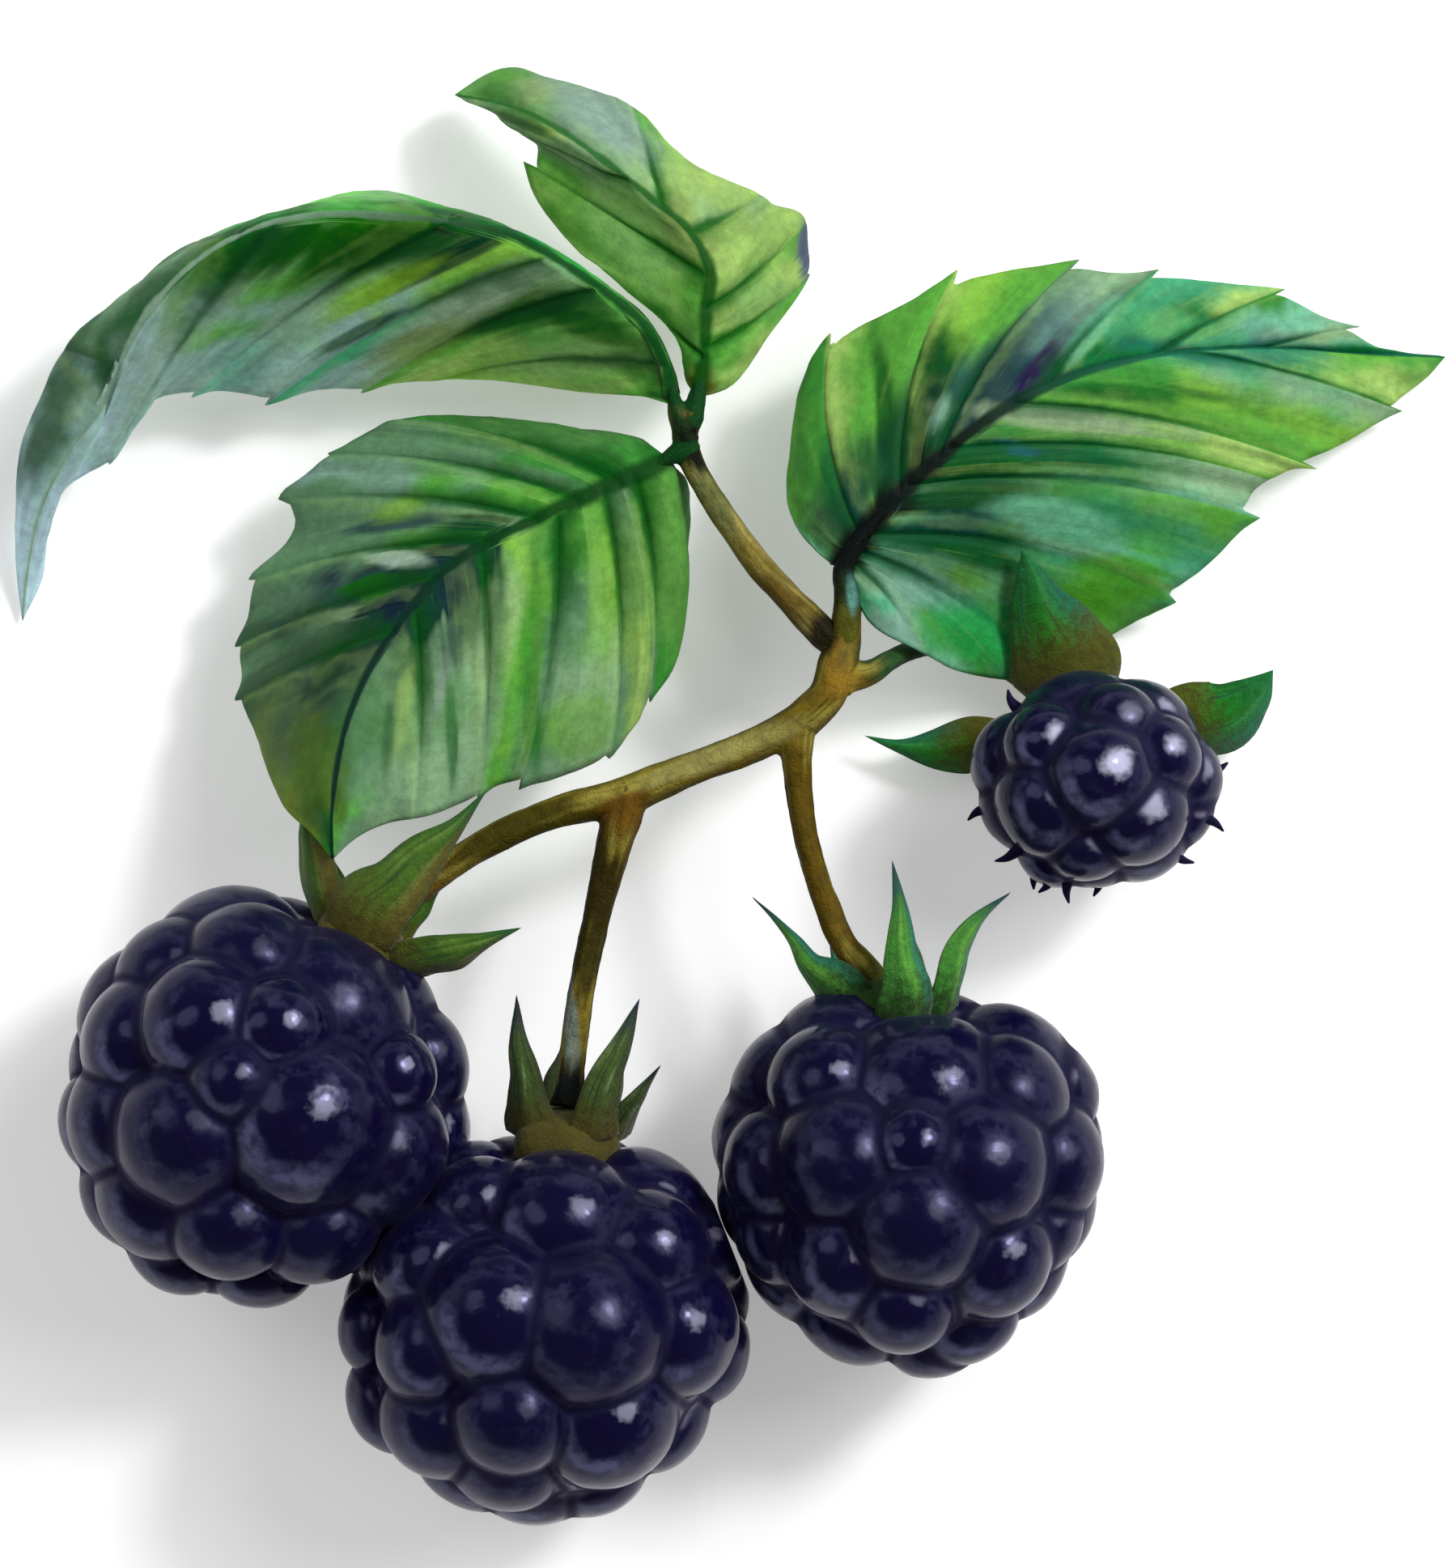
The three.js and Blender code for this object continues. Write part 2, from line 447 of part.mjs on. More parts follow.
// The leaves. veins: [share of the midrib, share of the margin] of each side vein and its tooth.
const LEAVES = {
  leaf_right: {
    midrib: [
      [6.7, 13.8, 12.6],
      [7.9, 15.5, 12.8],
      [9.8, 17.7, 12.8],
      [14.8, 22.2, 12.2],
      [19.9, 25.2, 11],
      [26, 27, 8.8],
      [33.3, 27.7, 5.4],
      [39.5, 27.5, 2.5],
      [45.1, 27.4, 0.5],
    ],
    left: {
      margin: [
        [6.7, 13.8, 12.6],
        [4.9, 15.1, 11.4],
        [3.6, 17.7, 9.6],
        [3.6, 21, 8.2],
        [4.3, 24.6, 7.6],
        [5.8, 27.2, 7.6],
        [8.4, 29, 7.8],
        [14, 31.5, 8],
        [17.5, 32.4, 7.9],
        [21.3, 32.5, 7.5],
        [26.1, 32, 6.7],
        [30.2, 31.8, 5.7],
        [34.1, 31.1, 4.4],
        [38.6, 29, 2.6],
        [41.8, 27.7, 1.4],
        [45.1, 27.4, 0.5],
      ],
      veins: [
        [0.08, 0.286],
        [0.17, 0.429],
        [0.27, 0.559],
        [0.38, 0.645],
        [0.53, 0.787],
        [0.7, 0.879],
      ],
      sweep: 0.08,
    },
    right: {
      margin: [
        [6.7, 13.8, 12.6],
        [7.6, 12.2, 12.3],
        [8.7, 10.4, 11.6],
        [11.2, 8.9, 9.6],
        [15, 7.3, 5.2],
        [18.6, 7.1, 2.8],
        [22.2, 8.9, 2.1],
        [25.3, 10.7, 2.3],
        [27.8, 12.7, 3],
        [30.3, 14.7, 3.8],
        [31.8, 17.1, 4.6],
        [33.2, 19.2, 4.6],
        [36, 20.7, 4],
        [39, 22.2, 3],
        [41.8, 24.4, 1.8],
        [43.7, 25.9, 1],
        [45.1, 27.4, 0.5],
      ],
      veins: [
        [0.03, 0.157],
        [0.08, 0.364],
        [0.14, 0.539],
        [0.21, 0.675],
        [0.32, 0.77],
        [0.52, 0.905],
      ],
      sweep: 0.14,
    },
  },
  leaflet_lower: {
    midrib: [
      [-3.9, 20.6, 12.4],
      [-5.2, 19.8, 12.9],
      [-7.6, 18.8, 13.6],
      [-12.6, 16.5, 14.6],
      [-15, 15.3, 14.8],
      [-17.6, 13.6, 15],
      [-20, 10.8, 15],
      [-22.3, 7.3, 15],
      [-23.8, 3.4, 14.9],
      [-24.5, -1.1, 14.6],
      [-24.5, -4.2, 14.2],
    ],
    left: {
      margin: [
        [-3.9, 20.6, 12.4],
        [-2.8, 18.9, 9.9],
        [-2.6, 14.9, 9],
        [-2.7, 10.9, 8.6],
        [-3.7, 7.9, 8],
        [-5.3, 5.8, 7.8],
        [-6, 3.9, 7.8],
        [-8.1, 2.1, 9],
        [-10.7, 0.9, 10.6],
        [-13.2, 0.7, 11.6],
        [-15.2, 0, 12.4],
        [-17.9, -1.3, 13.4],
        [-21.1, -2, 13.8],
        [-23.1, -2.9, 14],
        [-24.5, -4.2, 14.2],
      ],
      veins: [
        [0.2, 0.407],
        [0.3, 0.526],
        [0.42, 0.681],
        [0.55, 0.754],
      ],
      sweep: 0.14,
    },
    right: {
      margin: [
        [-3.9, 20.6, 12.4],
        [-4.9, 21.2, 11.5],
        [-7.2, 22.1, 10],
        [-10.7, 22.7, 8.5],
        [-14.3, 23.3, 7.8],
        [-19.3, 23.2, 7.2],
        [-22.9, 22.3, 6.8],
        [-24.4, 21.2, 6.4],
        [-27.6, 18.7, 5.8],
        [-27.1, 16.8, 5.8],
        [-29.4, 13.6, 5.4],
        [-30.1, 11.5, 5.2],
        [-30.5, 9.2, 5.4],
        [-30.5, 6, 6.4],
        [-29.6, 3.9, 8],
        [-28.6, 0.9, 11],
        [-27.5, -1.1, 13],
        [-25.8, -2.6, 13.9],
        [-24.5, -4.2, 14.2],
      ],
      veins: [
        [0.1, 0.33],
        [0.18, 0.415],
        [0.27, 0.49],
        [0.38, 0.596],
        [0.5, 0.674],
        [0.63, 0.738],
      ],
      sweep: 0.1,
    },
  },
  leaflet_top: {
    midrib: [
      [-2.1, 24.3, 12.2],
      [-1.7, 26.4, 12.6],
      [-1.5, 29.3, 13],
      [-1.3, 31.8, 13.3],
      [-2.3, 34.2, 13.4],
      [-4.6, 36.3, 13.2],
      [-7.6, 38.7, 12.4],
      [-10.7, 41, 10.4],
      [-14, 42.7, 7.6],
      [-17.3, 43.6, 4.6],
    ],
    left: {
      margin: [
        [-2.1, 24.3, 12.2],
        [-2.7, 25.3, 11.6],
        [-3, 26.9, 11],
        [-3.5, 28.5, 11.4],
        [-4.7, 30, 11.2],
        [-8, 32.4, 10.4],
        [-10.2, 34.3, 9.4],
        [-11.8, 36.8, 9.2],
        [-12.1, 38.6, 9],
        [-12.1, 40.2, 8.6],
        [-13.9, 41.6, 7.2],
        [-15.6, 42.7, 5.8],
        [-17.3, 43.6, 4.6],
      ],
      veins: [
        [0.12, 0.25],
        [0.28, 0.5],
        [0.42, 0.676],
      ],
      sweep: 0.1,
    },
    right: {
      margin: [
        [-2.1, 24.3, 12.2],
        [-0.8, 24.7, 11.4],
        [0.3, 25.4, 10.8],
        [1.9, 27.5, 9.4],
        [3.3, 29.6, 8],
        [4.7, 32.1, 6],
        [4.9, 34.3, 4.6],
        [4.2, 36.1, 4.8],
        [1.6, 37.1, 6.6],
        [-1.2, 38.4, 7.8],
        [-3.6, 40.2, 8],
        [-5.3, 41.8, 7.8],
        [-9.2, 44, 6.6],
        [-11.3, 44.7, 5.6],
        [-13.7, 45.4, 4.4],
        [-15.4, 44.8, 3.9],
        [-16.4, 44.2, 4.2],
        [-17.3, 43.6, 4.6],
      ],
      veins: [
        [0.15, 0.16],
        [0.27, 0.285],
      ],
      sweep: 0.05,
    },
  },
  leaflet_left: {
    midrib: [
      [-3.4, 23.8, 12.2],
      [-3.8, 25.7, 13],
      [-5.1, 28.5, 14.5],
      [-7.8, 30.8, 15.8],
      [-10.6, 32.6, 16.8],
      [-13.5, 34.1, 17.4],
      [-17, 34.8, 17.8],
      [-20.4, 35.1, 18],
      [-24.9, 35.3, 17.8],
      [-29.4, 34.4, 16.8],
      [-33, 32.4, 15],
      [-35.6, 29.9, 13],
      [-37.5, 27.2, 10.8],
      [-39.2, 23.8, 8],
      [-41.4, 21.1, 5.8],
      [-43.3, 17.6, 3.6],
      [-44.2, 14.1, 1.8],
      [-44.7, 10.7, 0.4],
    ],
    left: {
      margin: [
        [-3.4, 23.8, 12.2],
        [-4.3, 24.1, 11.6],
        [-5.4, 24.5, 11],
        [-8.2, 24.7, 9.4],
        [-10.7, 25, 8],
        [-14.3, 25.6, 6.6],
        [-17.9, 26, 5.8],
        [-20.4, 25.5, 5.4],
        [-22.4, 25.4, 5.2],
        [-25.5, 25.1, 5],
        [-28.3, 24.7, 5],
        [-30.5, 24.9, 5],
        [-33.2, 25.2, 5.2],
        [-35.6, 24.7, 5.4],
        [-37.2, 23.1, 5],
        [-38.8, 21, 4.4],
        [-41.3, 19.2, 3.4],
        [-42.7, 17.4, 2.6],
        [-43.1, 15.4, 1.9],
        [-43.4, 13.4, 1.2],
        [-44.7, 10.7, 0.4],
      ],
      veins: [
        [0.07, 0.316],
        [0.16, 0.402],
        [0.27, 0.517],
        [0.38, 0.608],
        [0.54, 0.751],
      ],
      sweep: 0.08,
    },
    right: {
      margin: [
        [-3.4, 23.8, 12.2],
        [-3.8, 25.4, 11.3],
        [-5.3, 28, 9.8],
        [-8, 30.4, 8.8],
        [-10.8, 32.3, 8.4],
        [-13.4, 34.3, 8.6],
        [-16, 35.4, 9.4],
        [-18.6, 36.3, 10],
        [-21.2, 36.9, 10.6],
        [-25.2, 36.7, 10.8],
        [-29.2, 35.4, 10.4],
        [-33.3, 33.8, 9.6],
        [-37.4, 31.3, 8.4],
        [-40.8, 28.4, 7],
        [-43.2, 24.4, 5.2],
        [-44.6, 21.4, 4],
        [-45, 18.2, 2.8],
        [-45, 14.1, 1.4],
        [-44.7, 10.7, 0.4],
      ],
      veins: [
        [0.1, 0.12],
        [0.3, 0.36],
        [0.5, 0.55],
        [0.7, 0.72],
      ],
      sweep: 0,
    },
  },
};

// The berries. hub is the middle of the calyx, and listed holds the drupelets on the upper side, each
// [x, y] from the berry's centre and its radius. A sepal's points are [x, y, z, half-width].
const BERRIES = {
  left: {
    centre: [-28.6, -18.5, 11.9],
    hub: [-22.6, -8.7, 12.2],
    radius: 13,
    outline: [12.9, 12.0, 11.8, 12.8, 13.2, 13.0, 13.0, 13.5, 14.0, 13.4, 13.0, 13.0],
    cupRadius: 2.7,
    touches: ["middle"],
    listed: [
      [-2.9, 10.7, 3],
      [-3.7, 4.7, 2.9],
      [-8.3, 3.6, 2.6],
      [4.4, 5.8, 3.5],
      [11.2, 2.3, 2.2],
      [8.6, 1.4, 1.8],
      [-5.1, -2.6, 3.1],
      [2.9, -1.7, 3.8],
      [-11.7, -2.1, 2],
      [7.7, -4.1, 3.1],
      [-10.1, 6.2, 2.5],
      [-2.2, -8.5, 2.5],
      [3.6, -8.9, 2.5],
      [-9.7, -7.2, 2.1],
      [-6.2, -10.9, 2.1],
      [-0.4, -11.8, 2.1],
    ],
    sepals: [
      [[-26.2, -7.3, 10.9, 1.4], [-25.9, -5, 11.4, 1.7], [-26.4, -2.9, 11.6, 1.2], [-27.1, -0.8, 11.4, 0]],
      [[-22.4, -8.5, 15.9, 2.2], [-20.9, -5.7, 15.8, 2.1], [-18.1, -3.1, 15, 1.2], [-15, 0.1, 13.8, 0]],
      [
        [-19.1, -10.3, 13.3, 1.5],
        [-17.8, -10.1, 13.6, 1.7],
        [-15.6, -9.3, 13.4, 1.1],
        [-12.9, -8.4, 12.8, 0],
      ],
      [[-21.3, -8.7, 8.4, 1.5], [-19.8, -6.7, 8, 1.3], [-18.5, -5.4, 7.8, 0.8], [-17.2, -4.1, 8, 0]],
      [[-24.2, -7.8, 8.2, 1.5], [-25.1, -5.9, 7.6, 1.2], [-25.6, -4.2, 7.4, 0.7], [-26, -2.1, 7.6, 0]],
    ],
  },
  middle: {
    centre: [-11.2, -33.2, 11.6],
    hub: [-10.2, -21.1, 12],
    radius: 12.6,
    outline: [12.9, 13.2, 13.0, 12.4, 12.8, 13.0, 13.2, 13.6, 12.4, 12.2, 11.9, 11.6],
    cupRadius: 2.2,
    touches: ["left", "right"],
    listed: [
      [0.8, 7.7, 3.1],
      [-3.6, 1.5, 3.2],
      [2.7, 0.6, 3.5],
      [7.2, 8.8, 2.8],
      [11.1, 6.1, 2.2],
      [8.6, 0.1, 2.8],
      [11.4, -2, 2],
      [-7.7, -0.8, 2.4],
      [-11.2, 0.1, 1.8],
      [-7.2, -5.9, 2.5],
      [-11.2, -5.2, 2.1],
      [-2.4, -5.4, 2.5],
      [4, -5.9, 3],
      [7.9, -6.6, 2.1],
      [-1.1, -10.2, 2.4],
      [-5.2, -9.3, 2.1],
      [3.1, -10, 2.1],
      [-4.7, 8.3, 2.2],
      [-6.1, 11.1, 1.9],
    ],
    sepals: [
      [[-12.4, -20, 13.4, 1.4], [-12.6, -17.3, 14, 1.1], [-13.1, -14.8, 14, 0.7], [-13.2, -12.5, 13.6, 0]],
      [[-8.5, -19.8, 15, 1.3], [-7.5, -17.3, 15.4, 0.9], [-6.6, -14.8, 15.2, 0.6], [-5.6, -12.6, 14.6, 0]],
      [[-6.9, -20.7, 12.2, 1], [-5.9, -19.1, 13.4, 0.7], [-5.1, -17.9, 14.8, 0.4], [-4.3, -16.7, 16.4, 0]],
      [[-11, -20.2, 8.9, 1.1], [-10.6, -18.2, 8.4, 0.9], [-10.3, -16.5, 8.2, 0.5], [-10.1, -14.8, 8.4, 0]],
      [[-8.4, -20.5, 9.4, 1.1], [-7.7, -18.5, 8.8, 0.9], [-7.1, -17, 8.4, 0.5], [-6.6, -15.5, 8.6, 0]],
    ],
  },
  right: {
    centre: [11.1, -24.4, 11.1],
    hub: [9.5, -12.9, 11.8],
    radius: 12.1,
    outline: [12.0, 13.4, 13.2, 11.8, 13.4, 13.1, 12.2, 11.6, 11.6, 12.2, 11.6, 11.1],
    cupRadius: 2.9,
    touches: ["middle"],
    listed: [
      [-4.7, 9.6, 3],
      [0.8, 6.8, 3.4],
      [6.8, 7.8, 3],
      [10.6, 7.3, 2.2],
      [-8.7, 7.3, 2.5],
      [-10.2, 3.3, 2.2],
      [-4.7, 2.1, 2.9],
      [4.5, 1.8, 3],
      [9.3, 1.6, 2.5],
      [0.3, -2, 3],
      [-4.7, -4.7, 2.5],
      [5.6, -4.7, 2.5],
      [-0.7, -7.5, 2.2],
      [-4.2, -9.2, 2.2],
      [3.8, -8.7, 2.1],
      [1.8, -10.7, 2],
      [-8.7, -3.2, 2],
      [8.3, -6.2, 2],
    ],
    sepals: [
      [[5.6, -11.7, 11, 1.3], [4.3, -9.9, 11.2, 0.7], [2.9, -8, 11, 0.4], [1.3, -6.5, 10.6, 0]],
      [[10.7, -13.2, 15.8, 1.7], [10.4, -10.5, 16, 1.2], [10.5, -7.6, 15.6, 0.6], [9.9, -4.2, 15, 0]],
      [[13.6, -12.5, 13.4, 1.1], [13.7, -10.2, 13.8, 1], [14.8, -8.3, 13.4, 0.6], [17.3, -6.2, 12.6, 0]],
      [[7.9, -12.5, 8.4, 1.1], [7.3, -10.7, 8, 0.9], [6.7, -9.2, 7.8, 0.6], [6, -7.4, 8, 0]],
      [[11.5, -13.1, 8.6, 1.3], [11, -11, 8, 1], [10.8, -9.2, 7.8, 0.6], [10.5, -7.2, 8, 0]],
    ],
  },
  small: {
    centre: [22.5, 0.6, 9.6],
    hub: [22.2, 2.4, 3],
    radius: 7.9,
    outline: [8.1, 7.7, 7.3, 7.0, 7.0, 7.6, 8.0, 7.0, 7.2, 6.6, 7.1, 7.6],
    cupRadius: 2.1,
    touches: [],
    listed: [
      [0.2, 0.5, 2.4],
      [-1.2, 5.3, 2.5],
      [4.2, 4.4, 2.1],
      [-6.2, 1.8, 1.8],
      [-3.4, -1.7, 2.2],
      [2.9, -2.4, 2.2],
      [6.6, 0.3, 1.8],
      [-2.7, -5.2, 1.6],
      [0, -5.2, 1.5],
      [4.1, -4.9, 1.9],
      [-5.6, -2.2, 1.5],
      [7.3, -2.6, 1.4],
    ],
    sepals: [
      [
        [21.9, 5.4, 2.7, 1.6],
        [21.3, 7, 4.7, 2.9],
        [20.2, 9.6, 6.4, 2.8],
        [19.2, 12, 7.8, 1.5],
        [18, 15.1, 9.4, 0],
      ],
      [
        [25, 3.2, 2.7, 1.3],
        [27.3, 4.2, 3, 2.3],
        [29.9, 4.5, 3.2, 2.2],
        [32.1, 5.6, 3.6, 1.5],
        [33.9, 7.6, 4.2, 0],
      ],
      [
        [19.4, 2.5, 2.7, 1.3],
        [15.9, 2.7, 3, 1.6],
        [13.3, 2.7, 2.8, 1.4],
        [10.9, 2.9, 2.5, 0.6],
        [8.4, 3.5, 2.2, 0],
      ],
      [[20.9, -0.2, 1.9, 1.2], [19.8, -1.9, 1.2, 1.3], [19.1, -3.3, 0.8, 0.7], [18.6, -4.8, 0.6, 0]],
      [[24, -0.2, 1.9, 1.2], [25.4, -1.9, 1.2, 1.3], [26.4, -3.3, 0.8, 0.7], [27.2, -4.6, 0.6, 0]],
    ],
  },
};

const sprig = new THREE.Group();

function addPiece(name, geometry, finish) {
  const mesh = new THREE.Mesh(geometry, finish);
  mesh.name = name;
  sprig.add(mesh);
}

const stems = [MAIN_STEM, STALK_MIDDLE, STALK_RIGHT, STALK_SMALL];
addPiece("stem", joined(stems.map(taperedTube)), FINISH.bark);
const leafStalks = [LEAF_STALK, LEFT_LEAFLET_STALK, LOWER_LEAFLET_STALK];
addPiece("leaf_stalk", joined(leafStalks.map(taperedTube)), FINISH.stalk);
addPiece("leaf_right_stalk", taperedTube(RIGHT_LEAF_STALK), FINISH.stalk);

for (const [name, leaf] of Object.entries(LEAVES)) addPiece(name, leafGeometry(leaf), FINISH.leaf);

for (const [name, berry] of Object.entries(BERRIES)) {
  const centre = vector(berry.centre);
  const hub = vector(berry.hub);
  const axis = hub.clone().sub(centre).normalize();
  const contacts = berry.touches.map((other) => {
    const way = vector(BERRIES[other].centre).sub(centre);
    return { normal: way.clone().normalize(), reach: (way.length() - CONTACT_GAP) / 2 };
  });
  const placed = { ...berry, centre, hub, axis, contacts };
  addPiece(`berry_${name}`, berryGeometry(placed), FINISH.fruit);
  addPiece(`calyx_${name}`, cupGeometry(berry.cupRadius, hub, axis), FINISH.sepal);
  berry.sepals.forEach((points, k) =>
    addPiece(`sepal_${name}_${k + 1}`, sepalGeometry(points, hub, axis), FINISH.sepal),
  );
}

export default sprig;
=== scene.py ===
"""A bramble sprig lying on a pale surface: stems, four leaves and leaflets, and four ripe berries.

Lengths in the tables are millimetres, and each piece is made in metres in the frame of the CAD model.
"""

import math

import bmesh
import bpy
import numpy as np
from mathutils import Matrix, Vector, kdtree, noise


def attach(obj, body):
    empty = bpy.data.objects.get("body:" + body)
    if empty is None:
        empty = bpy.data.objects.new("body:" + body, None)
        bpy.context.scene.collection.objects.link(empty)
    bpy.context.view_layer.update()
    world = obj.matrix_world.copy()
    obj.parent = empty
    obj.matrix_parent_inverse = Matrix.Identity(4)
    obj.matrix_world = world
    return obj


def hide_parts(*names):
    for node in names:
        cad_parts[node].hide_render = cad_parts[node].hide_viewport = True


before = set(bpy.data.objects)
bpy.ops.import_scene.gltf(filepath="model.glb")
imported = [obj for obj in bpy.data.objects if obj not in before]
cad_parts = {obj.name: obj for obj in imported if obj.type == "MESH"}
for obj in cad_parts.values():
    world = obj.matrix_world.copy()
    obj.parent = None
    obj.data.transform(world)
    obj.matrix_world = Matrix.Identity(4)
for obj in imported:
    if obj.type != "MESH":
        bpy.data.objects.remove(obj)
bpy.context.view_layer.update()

MM = 0.001
UP = np.array([0.0, 0.0, 1.0])
BLOTCH_SEED = 1795371715  # without it noise.noise_vector, behind the leaves' blotches, follows the clock
noise.seed_set(BLOTCH_SEED)

# Stems and stalks: [x, y, z, radius].
MAIN_STEM = [
    [9.6, 17.6, 7.8, 1.0], [8.3, 15.4, 8.8, 1.0], [7.4, 13.2, 10.2, 0.95], [7.2, 11.2, 11.5, 0.9],
    [7.0, 9.4, 12.3, 1.1], [6.6, 7.8, 12.6, 1.2], [6.1, 6.1, 12.6, 1.2], [4.2, 4.3, 12.5, 1.25],
    [1.3, 2.8, 12.4, 1.1], [-2.1, 1.5, 12.2, 1.05], [-6.4, -0.2, 12.0, 1.2], [-10.7, -1.3, 12.0, 1.0],
    [-14.2, -2.7, 12.0, 0.95], [-17.1, -4.4, 12.0, 0.95], [-19.4, -6.0, 12.0, 0.95],
    [-21.6, -7.6, 12.1, 1.0],
]
STALK_MIDDLE = [
    [-6.4, -0.2, 12.0, 1.3], [-7.1, -2.9, 12.0, 1.15], [-7.9, -6.1, 12.0, 0.95], [-8.8, -10.1, 12.0, 0.85],
    [-9.5, -14.1, 12.0, 0.85], [-9.9, -17.6, 12.0, 0.9], [-10.1, -19.5, 12.0, 1.2],
]
STALK_RIGHT = [
    [4.1, 4.1, 12.5, 1.25], [4.1, 1.4, 12.5, 0.9], [4.6, -2.6, 12.4, 0.8], [5.6, -6.1, 12.2, 0.8],
    [7.1, -9.6, 12.0, 0.85], [8.4, -11.2, 11.8, 1.0], [9.3, -12.6, 11.5, 0.95], [10.0, -14.4, 11.2, 0.8],
]
STALK_SMALL = [
    [6.9, 7.0, 12.4, 1.1], [8.5, 7.3, 11.2, 0.8], [10.0, 8.2, 8.9, 0.65], [12.0, 9.0, 6.2, 0.65],
    [14.6, 9.0, 3.6, 0.65], [17.7, 7.5, 1.6, 0.65], [20.5, 5.0, 0.85, 0.65], [22.2, 2.4, 0.85, 0.7],
]
LEAF_STALK = [
    [6.5, 8.9, 12.3, 0.8], [5.7, 9.8, 12.4, 1.0], [4.6, 10.9, 12.3, 0.95], [3.4, 12.1, 12.3, 0.85],
    [1.8, 13.9, 12.2, 0.85], [-0.1, 16.5, 12.0, 0.8], [-1.7, 18.9, 11.9, 0.75], [-2.6, 20.8, 11.9, 0.8],
    [-2.8, 22.1, 12.0, 0.85], [-2.4, 23.2, 12.1, 0.75],
]
LEFT_LEAFLET_STALK = [
    [-2.8, 21.8, 12.0, 0.8], [-3.0, 22.6, 12.1, 0.7], [-3.3, 23.4, 12.2, 0.6], [-3.6, 24.7, 12.35, 0.34],
    [-3.9, 26.0, 12.7, 0.12],
]
TOP_LEAFLET_STALK = [
    [-2.4, 23.0, 12.1, 0.75], [-2.1, 24.3, 12.05, 0.6], [-1.8, 25.6, 12.1, 0.34], [-1.7, 27.0, 12.3, 0.12],
]
LOWER_LEAFLET_STALK = [
    [-2.7, 21.2, 12.0, 0.75], [-3.3, 20.9, 12.15, 0.65], [-4.2, 20.4, 12.3, 0.38], [-5.6, 19.7, 12.6, 0.12],
]
RIGHT_LEAF_STALK = [
    [6.9, 8.8, 12.4, 0.9], [7.2, 11.0, 12.9, 0.85], [7.1, 12.4, 13.0, 0.75], [6.9, 13.6, 12.8, 0.65],
    [7.9, 15.5, 12.7, 0.55], [9.4, 17.3, 12.55, 0.35],
]

